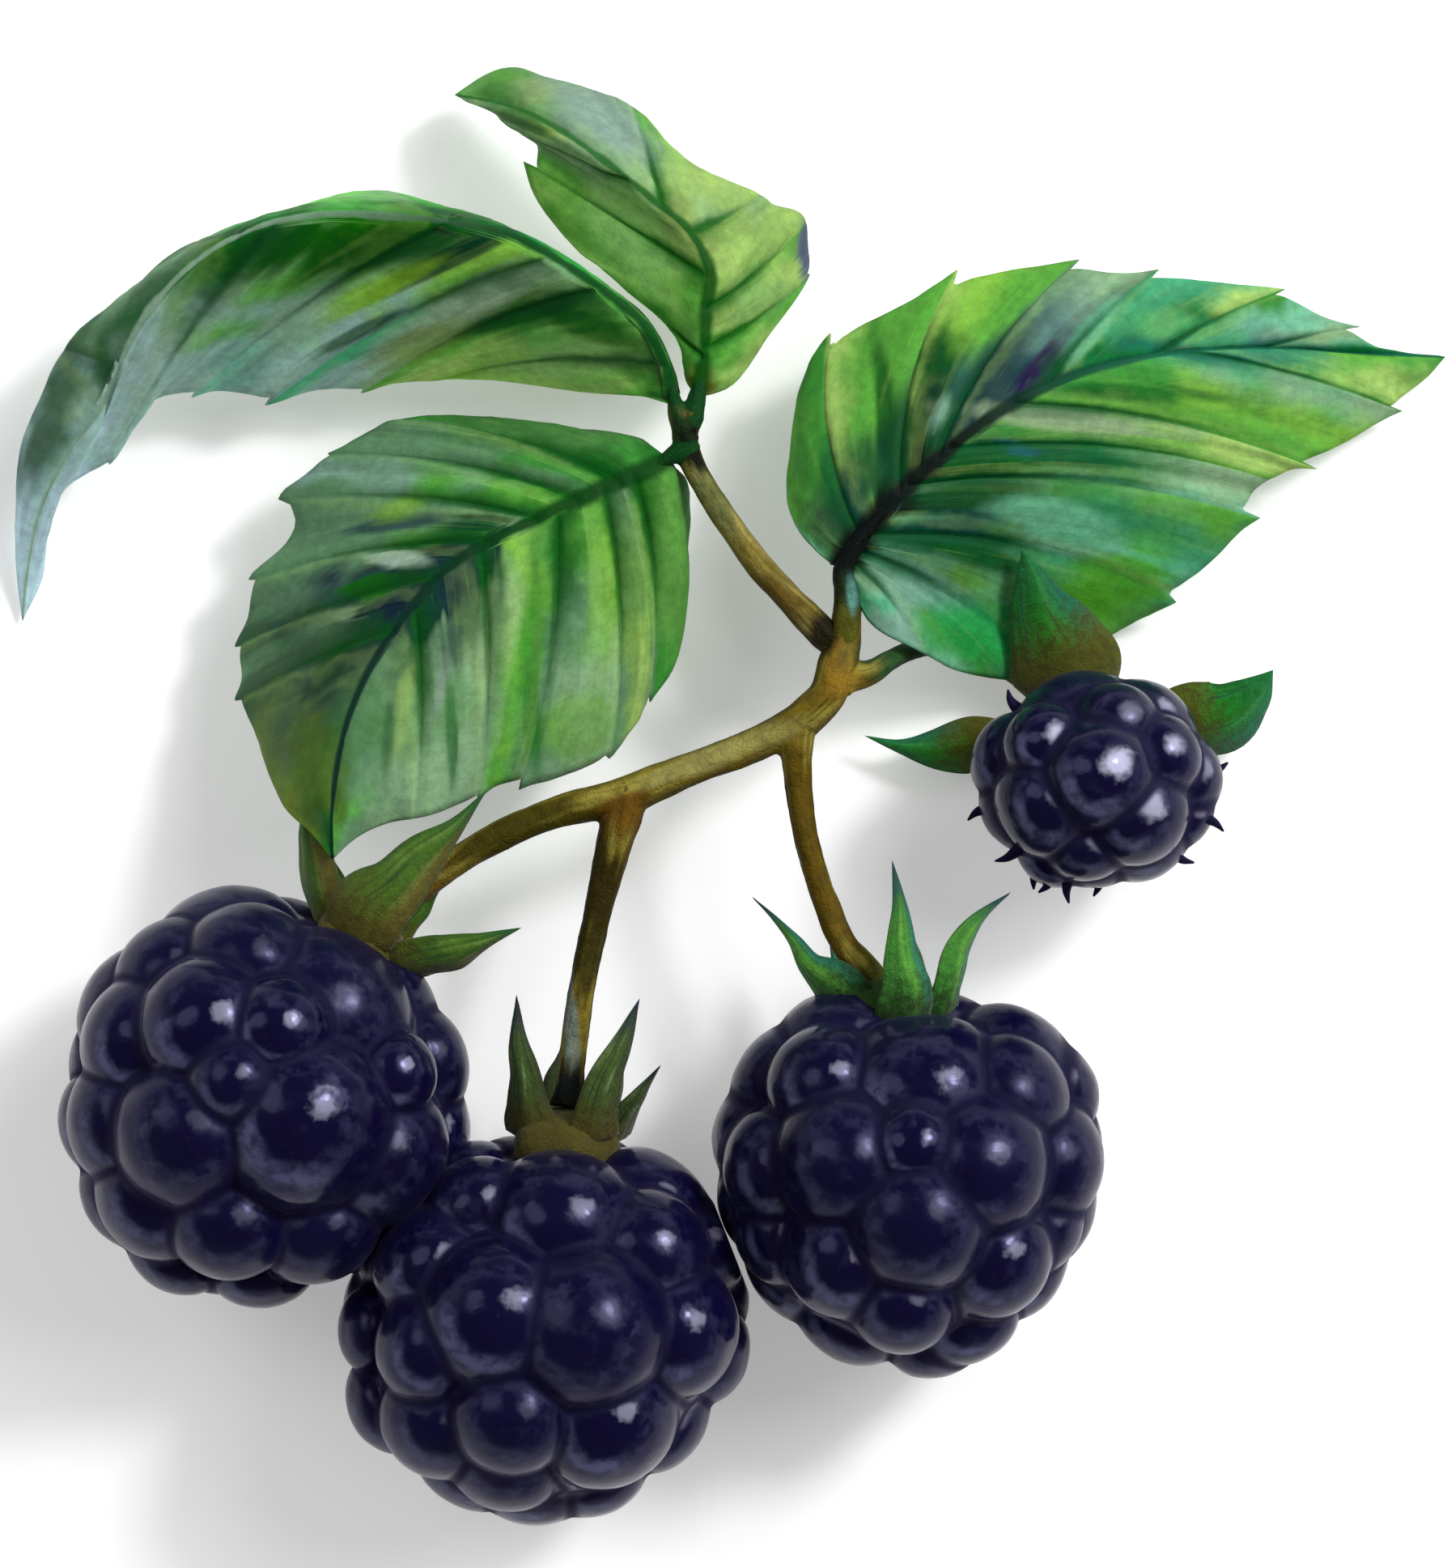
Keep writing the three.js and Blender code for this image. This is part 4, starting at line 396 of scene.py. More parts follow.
# A leaf half's panels lie between its side veins, from the base to the tip. A panel's two words are its
# colours near the midrib and near the margin, each from its base side to its tip side. A wash is a patch of
# colour: (x, y, half-width, half-height, turn in degrees, strength, colour).
LEAF_COLOURS = {
    "leaf_right": {
        "left": ["dqg TGg", "sGG YGG", "dds YyG", "ssn mMm", "dee ttY", "dss gTM", "see Mtg"],
        "right": ["qmM TtT", "mMT Tgt", "TTd tGt", "eTM TtG", "dde TMM", "eGM GYY", "Ggt GyM", "tGG gYg"],
        "vein": (6, 70, 32),
        "midrib": (3, 10, 10),
        "midrib_tip": (22, 92, 66),
        "vein_width": 0.42,
        "midrib_width": 0.75,
        "gain": 0.97,
        "vein_strength": 0.55,
        "washes": [
            (31.3, 27.5, 7.0, 0.9, -2, 0.8, (30, 104, 94)),
            (22.0, 19.6, 7.0, 4.4, -20, 0.55, (26, 120, 60)),
            (14.6, 16.6, 6.0, 4.0, 20, 0.55, (14, 80, 40)),
            (28.6, 28.6, 4.6, 1.2, -10, 0.6, (84, 166, 106)), (9.4, 23.8, 0.7, 4.4, 4, 0.85, (8, 76, 22)),
            (12.4, 25.4, 0.6, 4.4, -16, 0.8, (10, 70, 30)), (16.2, 25.2, 5.2, 2.5, 42, 0.9, (18, 48, 54)),
            (20.6, 29.0, 4.0, 1.3, 45, 0.55, (96, 128, 120)), (18.7, 25.8, 2.2, 0.9, 52, 0.9, (32, 16, 64)),
            (11.3, 21.6, 2.0, 4.0, -18, 0.85, (6, 50, 24)), (8.0, 19.4, 1.7, 4.0, -6, 0.8, (10, 60, 42)),
            (6.1, 19.8, 0.6, 3.4, 2, 0.6, (12, 88, 46)), (13.1, 23.4, 0.5, 1.8, -24, 0.7, (130, 170, 150)),
            (22.4, 28.4, 2.8, 0.8, 52, 0.8, (104, 176, 140)),
            (20.6, 22.9, 6.4, 0.9, -7, 0.85, (150, 174, 136)),
            (25.0, 24.8, 6.0, 0.7, -4, 0.8, (10, 90, 34)), (20.4, 20.8, 5.0, 0.8, -6, 0.85, (8, 84, 44)),
            (17.8, 21.2, 1.6, 0.5, -10, 0.7, (40, 96, 128)), (15.0, 18.6, 4.4, 1.5, 8, 0.9, (4, 64, 18)),
            (13.4, 16.2, 4.2, 1.0, 4, 0.85, (20, 66, 70)),
            (20.2, 17.0, 4.0, 1.3, -12, 0.8, (112, 182, 144)),
            (15.6, 14.6, 5.0, 0.6, -14, 0.85, (8, 80, 28)),
            (11.6, 12.6, 3.8, 1.3, -20, 0.75, (120, 166, 150)),
            (10.2, 10.0, 2.0, 1.6, -30, 0.7, (130, 158, 148)),
            (16.6, 9.8, 5.0, 2.1, -10, 0.85, (50, 162, 82)),
            (24.2, 13.2, 4.4, 2.4, 25, 0.85, (82, 160, 44)),
            (35.4, 27.0, 3.4, 1.5, -10, 0.5, (62, 134, 98)), (11.0, 19.0, 5.4, 1.3, 47, 0.97, (1, 12, 9)),
            (8.2, 15.6, 2.8, 1.2, 58, 1.0, (0, 5, 4)),
        ],
        "seed": 1.0,
    },
    "leaflet_lower": {
        "left": ["dGg mgg", "gmm mYm", "GGd MMm", "gym mGM", "qMm MMM", "qmG MMm"],
        "right": ["dgd dgg", "dgm mmm", "gGg mbm", "mmG mmm", "dns mmq", "ndn qmq", "nqd qog"],
        "vein": (10, 78, 20),
        "midrib": (4, 60, 12),
        "midrib_tip": (6, 40, 34),
        "vein_width": 0.42,
        "midrib_width": 0.5,
        "gain": 1.0,
        "vein_strength": 0.6,
        "washes": [
            (-22.6, 4.2, 4.6, 2.2, 60, 0.5, (74, 118, 70)), (-18.8, 4.8, 5.6, 2.6, 30, 0.5, (70, 124, 58)),
            (-25.4, 8.6, 4.0, 2.6, 30, 0.6, (60, 90, 62)),
            (-19.4, 20.4, 7.0, 1.6, 12, 0.5, (104, 142, 108)),
            (-16.2, 13.0, 2.6, 2.6, 0, 0.7, (30, 58, 40)), (-17.6, 15.4, 4.6, 1.2, 20, 0.85, (8, 78, 24)),
            (-20.8, 16.6, 3.4, 0.6, 8, 0.7, (30, 50, 72)),
            (-19.9, 14.2, 3.4, 0.7, -8, 0.97, (156, 180, 164)),
            (-21.4, 12.4, 2.6, 0.9, 4, 0.95, (20, 108, 16)),
            (-23.2, 11.0, 2.2, 0.5, 5, 0.8, (116, 148, 118)),
            (-20.3, 17.7, 2.4, 0.8, 15, 0.8, (112, 158, 62)),
            (-15.0, 9.4, 0.7, 5.0, -4, 0.85, (150, 178, 132)),
            (-17.6, 7.6, 0.6, 4.6, -12, 0.7, (130, 150, 134)),
            (-20.4, 4.6, 0.8, 4.4, -14, 0.7, (136, 168, 100)),
            (-12.2, 9.6, 1.0, 5.6, -6, 0.75, (34, 126, 36)),
            (-7.2, 11.6, 2.0, 6.0, -6, 0.4, (134, 184, 66)), (-9.4, 4.2, 3.0, 2.4, 20, 0.5, (112, 168, 56)),
            (-28.6, 5.0, 1.8, 5.4, 8, 0.6, (64, 94, 62)), (-25.4, 1.4, 1.8, 3.6, 20, 0.7, (76, 108, 32)),
            (-13.4, 11.2, 0.8, 4.6, -6, 0.7, (146, 182, 116)),
            (-4.0, 13.4, 1.7, 6.4, 0, 0.85, (98, 152, 74)), (-11.6, 22.2, 7.6, 1.7, -6, 0.9, (66, 112, 60)),
            (-21.0, 3.8, 0.6, 4.6, -4, 0.75, (24, 74, 44)), (-17.2, 3.6, 0.5, 4.2, 2, 0.75, (30, 92, 40)),
            (-12.3, 4.8, 0.7, 4.2, 4, 0.75, (24, 104, 30)), (-24.6, 7.4, 2.6, 1.0, 50, 0.85, (14, 60, 30)),
            (-16.8, 10.0, 1.6, 3.4, -8, 0.85, (36, 72, 52)), (-18.6, 12.4, 5.8, 2.3, 41, 2.4, (14, 44, 46)),
            (-18.8, 12.2, 4.4, 1.2, 41, 2.0, (8, 32, 50)),
            (-20.6, 14.4, 2.6, 0.6, -6, 0.95, (156, 180, 164)),
            (-22.3, 12.6, 1.8, 0.8, 8, 0.9, (20, 108, 16)),
        ],
        "seed": 4.0,
    },
    "leaflet_top": {
        "left": ["dGG gGG", "gGG gYG", "GYM GMM", "MYM MMG"],
        "right": ["dGG GYG", "GYY YYG", "GYY YYM", "MYY YYG", "MMG MMG"],
        "vein": (14, 84, 16),
        "midrib": (8, 70, 12),
        "midrib_tip": (50, 108, 50),
        "vein_width": 0.34,
        "midrib_width": 0.4,
        "gain": 0.8,
        "vein_strength": 0.85,
        "washes": [
            (-1.9, 25.0, 1.6, 1.4, 0, 0.85, (108, 104, 40)),
            # Painted light: this pale patch brightens the half that slopes away from the lamps.
            (-5.6, 34.6, 4.2, 4.4, 20, 0.75, (146, 192, 116)),
            (1.8, 35.4, 2.6, 2.8, 0, 0.5, (134, 172, 92)), (1.6, 30.6, 2.4, 1.6, 30, 0.5, (102, 152, 92)),
            (4.9, 33.8, 0.8, 2.6, 0, 0.95, (78, 84, 116)),
            (-7.8, 41.6, 4.6, 1.9, -38, 0.7, (136, 162, 156)),
            (-12.8, 41.4, 2.6, 0.6, -30, 0.7, (34, 98, 34)),
            (-12.4, 43.6, 1.6, 1.0, -8, 0.6, (150, 178, 116)),
            (-14.6, 43.4, 1.8, 1.0, -8, 0.6, (70, 130, 64)),
            (-2.6, 34.4, 1.4, 3.0, 22, 0.5, (124, 132, 74)),
        ],
        "seed": 8.0,
    },
    "leaflet_left": {
        "left": ["dGy GYy", "dGg yYG", "gMM Mbt", "GyM bbT", "gGM bbb", "mbB bBB"],
        "right": ["dge gGg", "dge mGm", "qqd qmq", "qbB bBB"],
        "vein": (6, 72, 26),
        "midrib": (8, 66, 22),
        "midrib_tip": (142, 172, 146),
        "vein_width": 0.6,
        "midrib_width": 0.4,
        "gain": 1.5,
        "vein_strength": 0.5,
        "washes": [
            (-22.4, 33.6, 10.0, 2.4, 4, 1.0, (0, 76, 0)), (-30.4, 33.0, 4.8, 1.5, 26, 0.9, (6, 80, 8)),
            (-8.6, 28.2, 6.0, 3.4, -14, 0.5, (96, 156, 84)),
            (-9.6, 26.6, 5.4, 1.3, 4, 0.75, (128, 170, 104)),
            (-8.4, 28.6, 5.4, 0.9, -20, 0.85, (6, 80, 16)), (-13.4, 29.4, 6.0, 1.1, 14, 0.9, (4, 70, 14)),
            (-16.0, 30.2, 5.2, 1.2, 26, 0.9, (142, 168, 138)),
            (-17.4, 32.6, 6.6, 0.8, 24, 0.9, (6, 56, 36)),
            (-23.0, 30.6, 5.0, 1.2, 24, 0.85, (124, 172, 56)),
            (-19.6, 27.6, 4.0, 1.0, 18, 0.6, (116, 134, 60)),
            (-27.4, 28.6, 4.6, 1.3, 34, 0.7, (132, 160, 142)),
            (-30.6, 26.6, 2.6, 1.6, 34, 0.6, (100, 150, 138)),
            (-36.6, 25.6, 2.6, 3.2, -40, 0.5, (132, 158, 150)),
            (-42.4, 23.4, 1.6, 5.4, -24, 0.9, (40, 70, 44)),
            (-41.4, 17.0, 2.0, 4.6, -24, 0.8, (140, 164, 170)),
            (-23.4, 28.4, 3.8, 0.5, 24, 0.85, (16, 64, 58)),
        ],
        "seed": 13.0,
    },
}

BARK = {
    "pale": (148, 138, 60),
    "middle": (104, 88, 18),
    "dark": (44, 34, 1),
    "seed": 2.0,
    "washes": [
        # The near-black first patch is painted shade where the stalks meet under the right leaf.
        (5.6, 9.4, 1.2, 1.6, 30, 0.95, (12, 10, 6)), (6.8, 7.2, 1.4, 2.0, 0, 0.6, (150, 116, 34)),
        (-1.0, 2.2, 7, 0.9, 20, 0.8, (146, 142, 80)), (-6.6, -1.2, 2.0, 1.8, 0, 0.85, (96, 64, 8)),
        (-7.8, -6.5, 2.0, 5, 10, 0.97, (44, 36, 2)), (-8.6, -10.5, 2.0, 3, 5, 0.85, (42, 40, 6)),
        (-9.9, -14.6, 0.6, 3.4, 4, 0.9, (108, 122, 112)), (-10.0, -19.0, 2.6, 2.4, 0, 0.97, (16, 24, 24)),
        (4.6, -2.0, 1.8, 4.6, 10, 0.9, (84, 66, 8)), (6.0, -7.5, 1.8, 4, 25, 0.85, (92, 72, 12)),
        (8.4, -11.6, 2.0, 2, 0, 0.8, (54, 60, 16)), (-13.4, -2.6, 6.0, 1.3, 25, 0.95, (60, 56, 6)),
        (-19.4, -6.4, 3, 1.6, 35, 0.85, (112, 84, 26)), (11.2, 8.6, 3.8, 1.8, 10, 0.97, (34, 72, 38)),
    ],
}
STALK = {
    "pale": (160, 148, 84),
    "middle": (118, 106, 44),
    "dark": (66, 50, 6),
    "seed": 5.0,
    "midrib": (12, 62, 22),
    "midrib_from": (40.6, 42.4),
    "washes": [
        # The near-black first patch is painted shade where the stalks meet under the right leaf; the dark
        # patches at x -2.8 and -2.1 are painted shade where the leaflets' stalks meet.
        (5.7, 9.6, 1.4, 1.6, -45, 0.95, (12, 10, 6)), (3.4, 11.8, 2.2, 1.2, -45, 0.8, (84, 62, 14)),
        (-1.2, 18.2, 1.2, 3.0, 30, 0.7, (96, 108, 62)), (-2.8, 21.8, 2.8, 2.2, 0, 0.97, (12, 44, 18)),
        (-2.1, 21.0, 1.2, 1.6, 0, 0.97, (6, 12, 6)), (-1.6, 24.6, 1.6, 1.8, 0, 0.9, (98, 92, 30)),
    ],
}
LEAF_END = {
    "pale": (58, 74, 34),
    "middle": (28, 44, 16),
    "dark": (8, 18, 8),
    "seed": 7.0,
    "midrib": (3, 12, 10),
    "midrib_from": (3.0, 5.4),
    "washes": [(6.9, 10.0, 2.0, 1.8, 0, 0.9, (84, 84, 22)), (7.5, 12.4, 0.5, 1.6, 0, 0.8, (92, 150, 136))],
}
SEPALS = {
    "left": {
        "base": (78, 72, 14), "body": (60, 94, 24), "pale": (112, 140, 66), "dark": (22, 54, 18),
        "band": (90, 76, 28), "tip": (22, 74, 34), "band_at": (0.1, 0.6), "base_at": (0.42, 0.05),
        "seed": 3.0,
    },
    "middle": {
        "base": (70, 64, 14), "body": (60, 82, 32), "pale": (116, 138, 92), "dark": (14, 30, 30),
        "band": (52, 62, 28), "tip": (18, 26, 52), "band_at": (0.2, 0.8), "base_at": (0.42, 0.05),
        "seed": 6.0,
    },
    "right": {
        "base": (24, 60, 6), "body": (66, 128, 50), "pale": (96, 154, 62), "dark": (16, 66, 40),
        "band": (40, 110, 96), "tip": (18, 40, 66), "band_at": (0.35, 0.85),
        "base_at": (0.42, 0.05), "seed": 9.0,
    },
    "small": {
        "base": (74, 76, 4), "body": (34, 118, 34), "pale": (66, 146, 72), "dark": (12, 72, 46),
        "band": (28, 96, 76), "tip": (30, 108, 58), "band_at": (0.1, 0.8), "base_at": (0.68, 0.34),
        "seed": 12.0,
    },
}
FRUIT = {
    "skin": (11, 7, 42),
    "deep": (8, 4, 38),
    # The pale colour of the waxy film, used as well for the painted reflections and painted rim sheen on the
    # drupelets.
    "bloom_and_rim_light": (88, 90, 126),
    "smooth": 0.09,
    "gloss": 0.22,
    # The size and strength of a painted highlight up and to the right on each drupelet.
    "spot": 0.22,
    "spot_strength": 0.3,
}
# The small berry has a larger, stronger painted highlight and paler painted reflections.
SMALL_FRUIT = {**FRUIT, "bloom_and_rim_light": (96, 98, 134), "gloss": 0.26, "spot": 0.4, "spot_strength": 0.68}


# --- shapes -------------------------------------------------------------------------------------------------


def unit(vectors):
    length = np.linalg.norm(vectors, axis=-1, keepdims=True)
    return vectors / np.maximum(length, 1e-12)


def smooth_share(value, low, high):
    t = np.clip((value - low) / (high - low), 0, 1)
    return t * t * (3 - 2 * t)


def hump(distance, width):
    """1 on a line, falling off to either side."""
    return np.exp(-((distance / width) ** 2))


class Line:
    """A smooth line through points, by share of its length. Further columns, such as a radius, go along."""

    def __init__(self, points, per_span=30):
        p = np.array(points, float)
        p = np.vstack([2 * p[0] - p[1], p, 2 * p[-1] - p[-2]])
        steps = np.linalg.norm(np.diff(p[:, :3], axis=0), axis=1) ** 0.5
        t = np.linspace(0, 1, per_span, endpoint=False)[:, None]
        pieces = []
        for i in range(1, len(p) - 2):
            a, b, c, d = p[i - 1 : i + 3]
            before, here, after = steps[i - 1 : i + 2]
            start = ((b - a) / before - (c - a) / (before + here) + (c - b) / here) * here
            end = ((c - b) / here - (d - b) / (here + after) + (d - c) / after) * here
            square = 3 * (c - b) - 2 * start - end
            cube = 2 * (b - c) + start + end
            pieces.append(b + start * t + square * t**2 + cube * t**3)
        self.points = np.vstack([*pieces, p[-2][None]])
        gaps = np.linalg.norm(np.diff(self.points[:, :3], axis=0), axis=1)
        run = np.concatenate([[0], np.cumsum(gaps)])
        self.length = run[-1]
        self.marks = run / run[-1]

    def at(self, share):
        share = np.clip(share, 0, 1)
        return np.stack([np.interp(share, self.marks, column) for column in self.points.T], axis=-1)

    def along(self, share):
        share = np.asarray(share, float)
        ahead = self.at(share + 2e-3)[..., :3]
        behind = self.at(share - 2e-3)[..., :3]
        return unit(ahead - behind)


def placed(name, data):
    """An object for a mesh, a lamp or a camera, in the scene."""
    made = bpy.data.objects.new(name, data)
    bpy.context.scene.collection.objects.link(made)
    return made


def give(thing, key, values):
    """Stores a value or a vector at each point of a mesh."""
    values = np.asarray(values, np.float32)
    kind, field = ("FLOAT", "value") if values.ndim == 1 else ("FLOAT_VECTOR", "vector")
    layer = thing.data.attributes.new(key, kind, "POINT")
    layer.data.foreach_set(field, values.ravel())


def shade_smooth(thing):
    thing.data.polygons.foreach_set("use_smooth", [True] * len(thing.data.polygons))


def mesh_object(name, points, faces, attributes=None):
    """A mesh in metres from points in millimetres, with each attribute's values or vectors at its points."""
    made = placed(name, bpy.data.meshes.new(name))
    made.data.from_pydata((np.asarray(points) * MM).tolist(), [], [list(map(int, face)) for face in faces])
    for key, values in (attributes or {}).items():
        give(made, key, values)
    shade_smooth(made)
    made.data.validate()
    made.data.update()
    return made


def remove(thing):
    mesh = thing.data
    bpy.data.objects.remove(thing)
    if mesh.users == 0:
        bpy.data.meshes.remove(mesh)


def baked(source, name):
    """A plain mesh object of what the source's modifiers make. The source is removed."""
    depsgraph = bpy.context.evaluated_depsgraph_get()
    shown = source.evaluated_get(depsgraph)
    mesh = bpy.data.meshes.new_from_object(shown, preserve_all_data_layers=True, depsgraph=depsgraph)
    mesh.name = name
    remove(source)
    return placed(name, mesh)


def one_skin(thing, name, voxel, rounds, factor):
    """Joins an object's overlapping shells into one skin, and rounds its creases."""
    remesh = thing.modifiers.new("join", "REMESH")
    remesh.mode = "VOXEL"
    remesh.voxel_size = voxel * MM
    fillet = thing.modifiers.new("fillet", "SMOOTH")
    fillet.iterations = rounds
    fillet.factor = factor
    skin = baked(thing, name)
    shade_smooth(skin)
    return skin


def vectors_of(thing, field):
    flat = np.empty(len(thing.data.vertices) * 3)
    thing.data.vertices.foreach_get(field, flat)
    return flat.reshape(-1, 3)


def points_of(thing):
    return vectors_of(thing, "co") / MM


def move_points(thing, points):
    thing.data.vertices.foreach_set("co", (points * MM).ravel())
    thing.data.update()


def bmesh_edit(thing, edit):
    """Changes a mesh by way of a bmesh."""
    work = bmesh.new()
    work.from_mesh(thing.data)
    edit(work)
    work.to_mesh(thing.data)
    work.free()


def finish_piece(thing, material, slot, *nodes):
    thing.data.materials.clear()
    thing.data.materials.append(material)
    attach(thing, "root")
    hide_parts(*nodes)


def tubes(name, runs, sides=20, step=0.5):
    """A tube along each run of [x, y, z, radius], of rings about a step apart and closed at both ends."""
    points, faces = [], []
    for run in runs:
        line = Line(run)
        count = max(4, round(line.length / step))
        shares = np.linspace(0, 1, count + 1)
        ways = line.along(shares)
        side = unit(np.cross(ways[0], UP + 0.01))
        first = len(points)
        for centre, way in zip(line.at(shares), ways):
            side = unit(side - way * (side @ way))
            over = np.cross(way, side)
            for k in range(sides):
                turn = 2 * math.pi * k / sides
                points.append(centre[:3] + centre[3] * (side * math.cos(turn) + over * math.sin(turn)))
        for start in range(first, len(points) - sides, sides):
            for k in range(sides):
                a, b = start + k, start + (k + 1) % sides
                faces.append((a, b, b + sides, a + sides))
        faces.append(tuple(range(first, first + sides))[::-1])
        faces.append(tuple(range(len(points) - sides, len(points))))
    return mesh_object(name, points, faces)


STEM_STEP = 0.2  # mm between the places along a stem that its skin's points are measured from
APART = 40  # mm between the runs of two stems, so that their streaks differ


def stem_lump(a, r):
    broad = noise.noise(Vector((math.cos(a) * 1.3, math.sin(a) * 1.3, r * 0.35)))
    return broad + 0.5 * noise.noise(Vector((math.cos(a) * 3, math.sin(a) * 3, r * 0.9)))


def grown(name, runs, voxel, unevenness):
    """One skin over stems that grow out of each other. Its points know where along and round one they lie."""
    skin = one_skin(tubes(name + " rough", runs), name, voxel, 8, 0.6)
    middles, ways, along = [], [], []
    for k, line in enumerate(map(Line, runs)):
        shares = np.linspace(0, 1, max(8, round(line.length / STEM_STEP)))
        middles.append(line.at(shares))
        ways.append(line.along(shares))
        along.append(shares * line.length + APART * k)
    middles, ways, along = np.vstack(middles), np.vstack(ways), np.concatenate(along)
    tree = kdtree.KDTree(len(middles))
    for k, middle in enumerate(middles):
        tree.insert(middle[:3], k)
    tree.balance()
    at = points_of(skin)
    nearest = np.array([tree.find(p)[1] for p in at])
    girth = middles[nearest, 3]
    away = at - middles[nearest, :3]
    side = unit(np.cross(ways[nearest], UP + 0.01))
    over = np.cross(side, ways[nearest])
    around = np.arctan2((away * over).sum(1), (away * side).sum(1))
    run = along[nearest] + (away * ways[nearest]).sum(1)
    lumps = np.array([stem_lump(a, r) for a, r in zip(around, run)])
    move_points(skin, at + vectors_of(skin, "normal") * (lumps * unevenness * girth)[:, None])
    for key, values in (("run", run), ("around", around / math.pi), ("girth", girth)):
        give(skin, key, values)
    return skin


LIFT = 0.04  # mm that a blade's lowest points stay above the surface
WIDEST_PANEL = 12  # mm between two side veins, at the most
NO_VEIN = 9  # mm, the distance that stands for no side vein nearby
NOTCH = 0.15  # the notch after a tooth, as a share of the midrib's stretch between two side veins
LEAF_COLUMNS = 26
LEAF_STEP = 0.55  # mm between rows, at the midrib or at the margin
NEAR_TOOTH = (0.3, 0.16, 0.07, 0.02)  # where rows lie before a tooth's tip, as shares of the same stretch
BLADE = 0.42  # mm thick, at the middle of a leaf
PUFF = 0.3  # mm that a blade swells between its side veins
VEIN_GROOVE = 0.16  # mm deep
MIDRIB_GROOVE = 0.22
RIPPLE = 0.22  # mm up and down along the margin
LUMPS = 0.09
MIDRIB_RIDGE = 0.3  # mm, on the underside
VEIN_RIDGE = 0.12


def leaf_rows(leaf, key, rib):
    """For one half of a leaf, a function from shares of the midrib to lines of points out to the margin.

    Also returns where rows have to lie, and a function from shares of the midrib to the margin's length.
    """
    half = leaf[key]
    turn = 1 if key == "left" else -1
    edge = Line([leaf["midrib"][0], *half["margin"], leaf["midrib"][-1]])
    veins = np.array([[0, 0, 0], *half["veins"], [1, 1, 0]], float)
    last = veins[-2]
    ease = np.clip((1 - last[0]) * rib.length / ((1 - last[1]) * edge.length) - 1, 0, 0.9)
    widths = np.diff(veins[:, 0])
    notches = np.append(0, np.minimum(NOTCH * widths[1:], 0.006))
    marks = [share - near * width for share, width in zip(veins[1:-1, 0], widths) for near in NEAR_TOOTH]
    marks += [*veins[:, 0], *(veins[:-1, 0] + notches)]

    def margin_share(u):
        share = np.interp(u, veins[:, 0], veins[:, 1])
        late = np.clip((u - last[0]) / (1 - last[0]), 0, 1)
        return np.where(u > last[0], last[1] + (1 - last[1]) * (late * (1 - ease) + late**2 * ease), share)

    def rows(u, t):
        roots = rib.at(u)
        ends = edge.at(margin_share(u))
        chord = ends - roots
        forward = np.stack([chord[:, 1], -chord[:, 0], 0 * u], axis=1)
        bends = (roots + ends) / 2 + forward * (turn * half["sweep"] * (1 - u))[:, None]
        tooth = np.zeros_like(u)
        for k in range(len(widths)):
            start = veins[k, 0] + notches[k]
            inside = (u > start - 1e-9) & (u <= veins[k + 1, 0] + 1e-9)
            rise = np.clip((u - start) / (veins[k + 1, 0] - start), 0, 1)
            before = 0.2 * veins[k, 2] * (1 - rise) ** 3
            own = veins[k + 1, 2] * (rise**5 + 0.18 * np.sin(math.pi * rise))
            tooth = np.where(inside, own - before, tooth)
        ends = ends + unit(ends - bends) * (leaf["tooth"] * tooth)[:, None]
        t = t[None, :, None]
        return (1 - t) ** 2 * roots[:, None] + 2 * t * (1 - t) * bends[:, None] + t**2 * ends[:, None]

    return rows, veins[:, 0], marks, lambda u: margin_share(u) * edge.length


def sheet_shell(name, grid, upper, lower, values):
    """A closed shell from a grid of points, with how far its upper and lower skins lie from it.

    The first and last rows are single points. Values at the grid's points go to both skins.
    """
    rows, columns = grid.shape[:2]
    normal = unit(np.cross(np.gradient(grid, axis=1), np.gradient(grid, axis=0)))
    skins = [grid + normal * upper[..., None], grid - normal * lower[..., None]]
    keep = np.ones((rows, columns), bool)
    keep[[0, -1], 1:] = False
    total = keep.sum()
    index = np.zeros((rows, columns), int)
    index[keep] = np.arange(total)
    index[-1] = index[-1, 0]
    faces = []
    for i in range(rows - 1):
        for j in range(columns - 1):
            loop = [index[i, j], index[i, j + 1], index[i + 1, j + 1], index[i + 1, j]]
            loop = [a for k, a in enumerate(loop) if a != loop[k - 1]]
            faces += [loop, [a + total for a in reversed(loop)]]
    rim = [*index[:, -1], *index[-2:0:-1, 0]]
    faces += [[b, a, a + total, b + total] for a, b in zip(rim, rim[1:] + rim[:1])]
    points = np.vstack([skin[keep] for skin in skins])
    points[:, 2] = np.maximum(points[:, 2], LIFT)
    stored = {key: np.concatenate([value[keep], value[keep]]) for key, value in values.items()}
    stored["underside"] = np.repeat([0, 1], total)
    return mesh_object(name, points, faces, stored)


def leaf_lump(p):
    return noise.noise(Vector(p * 0.55)) + 0.6 * noise.noise(Vector(p * 1.3))


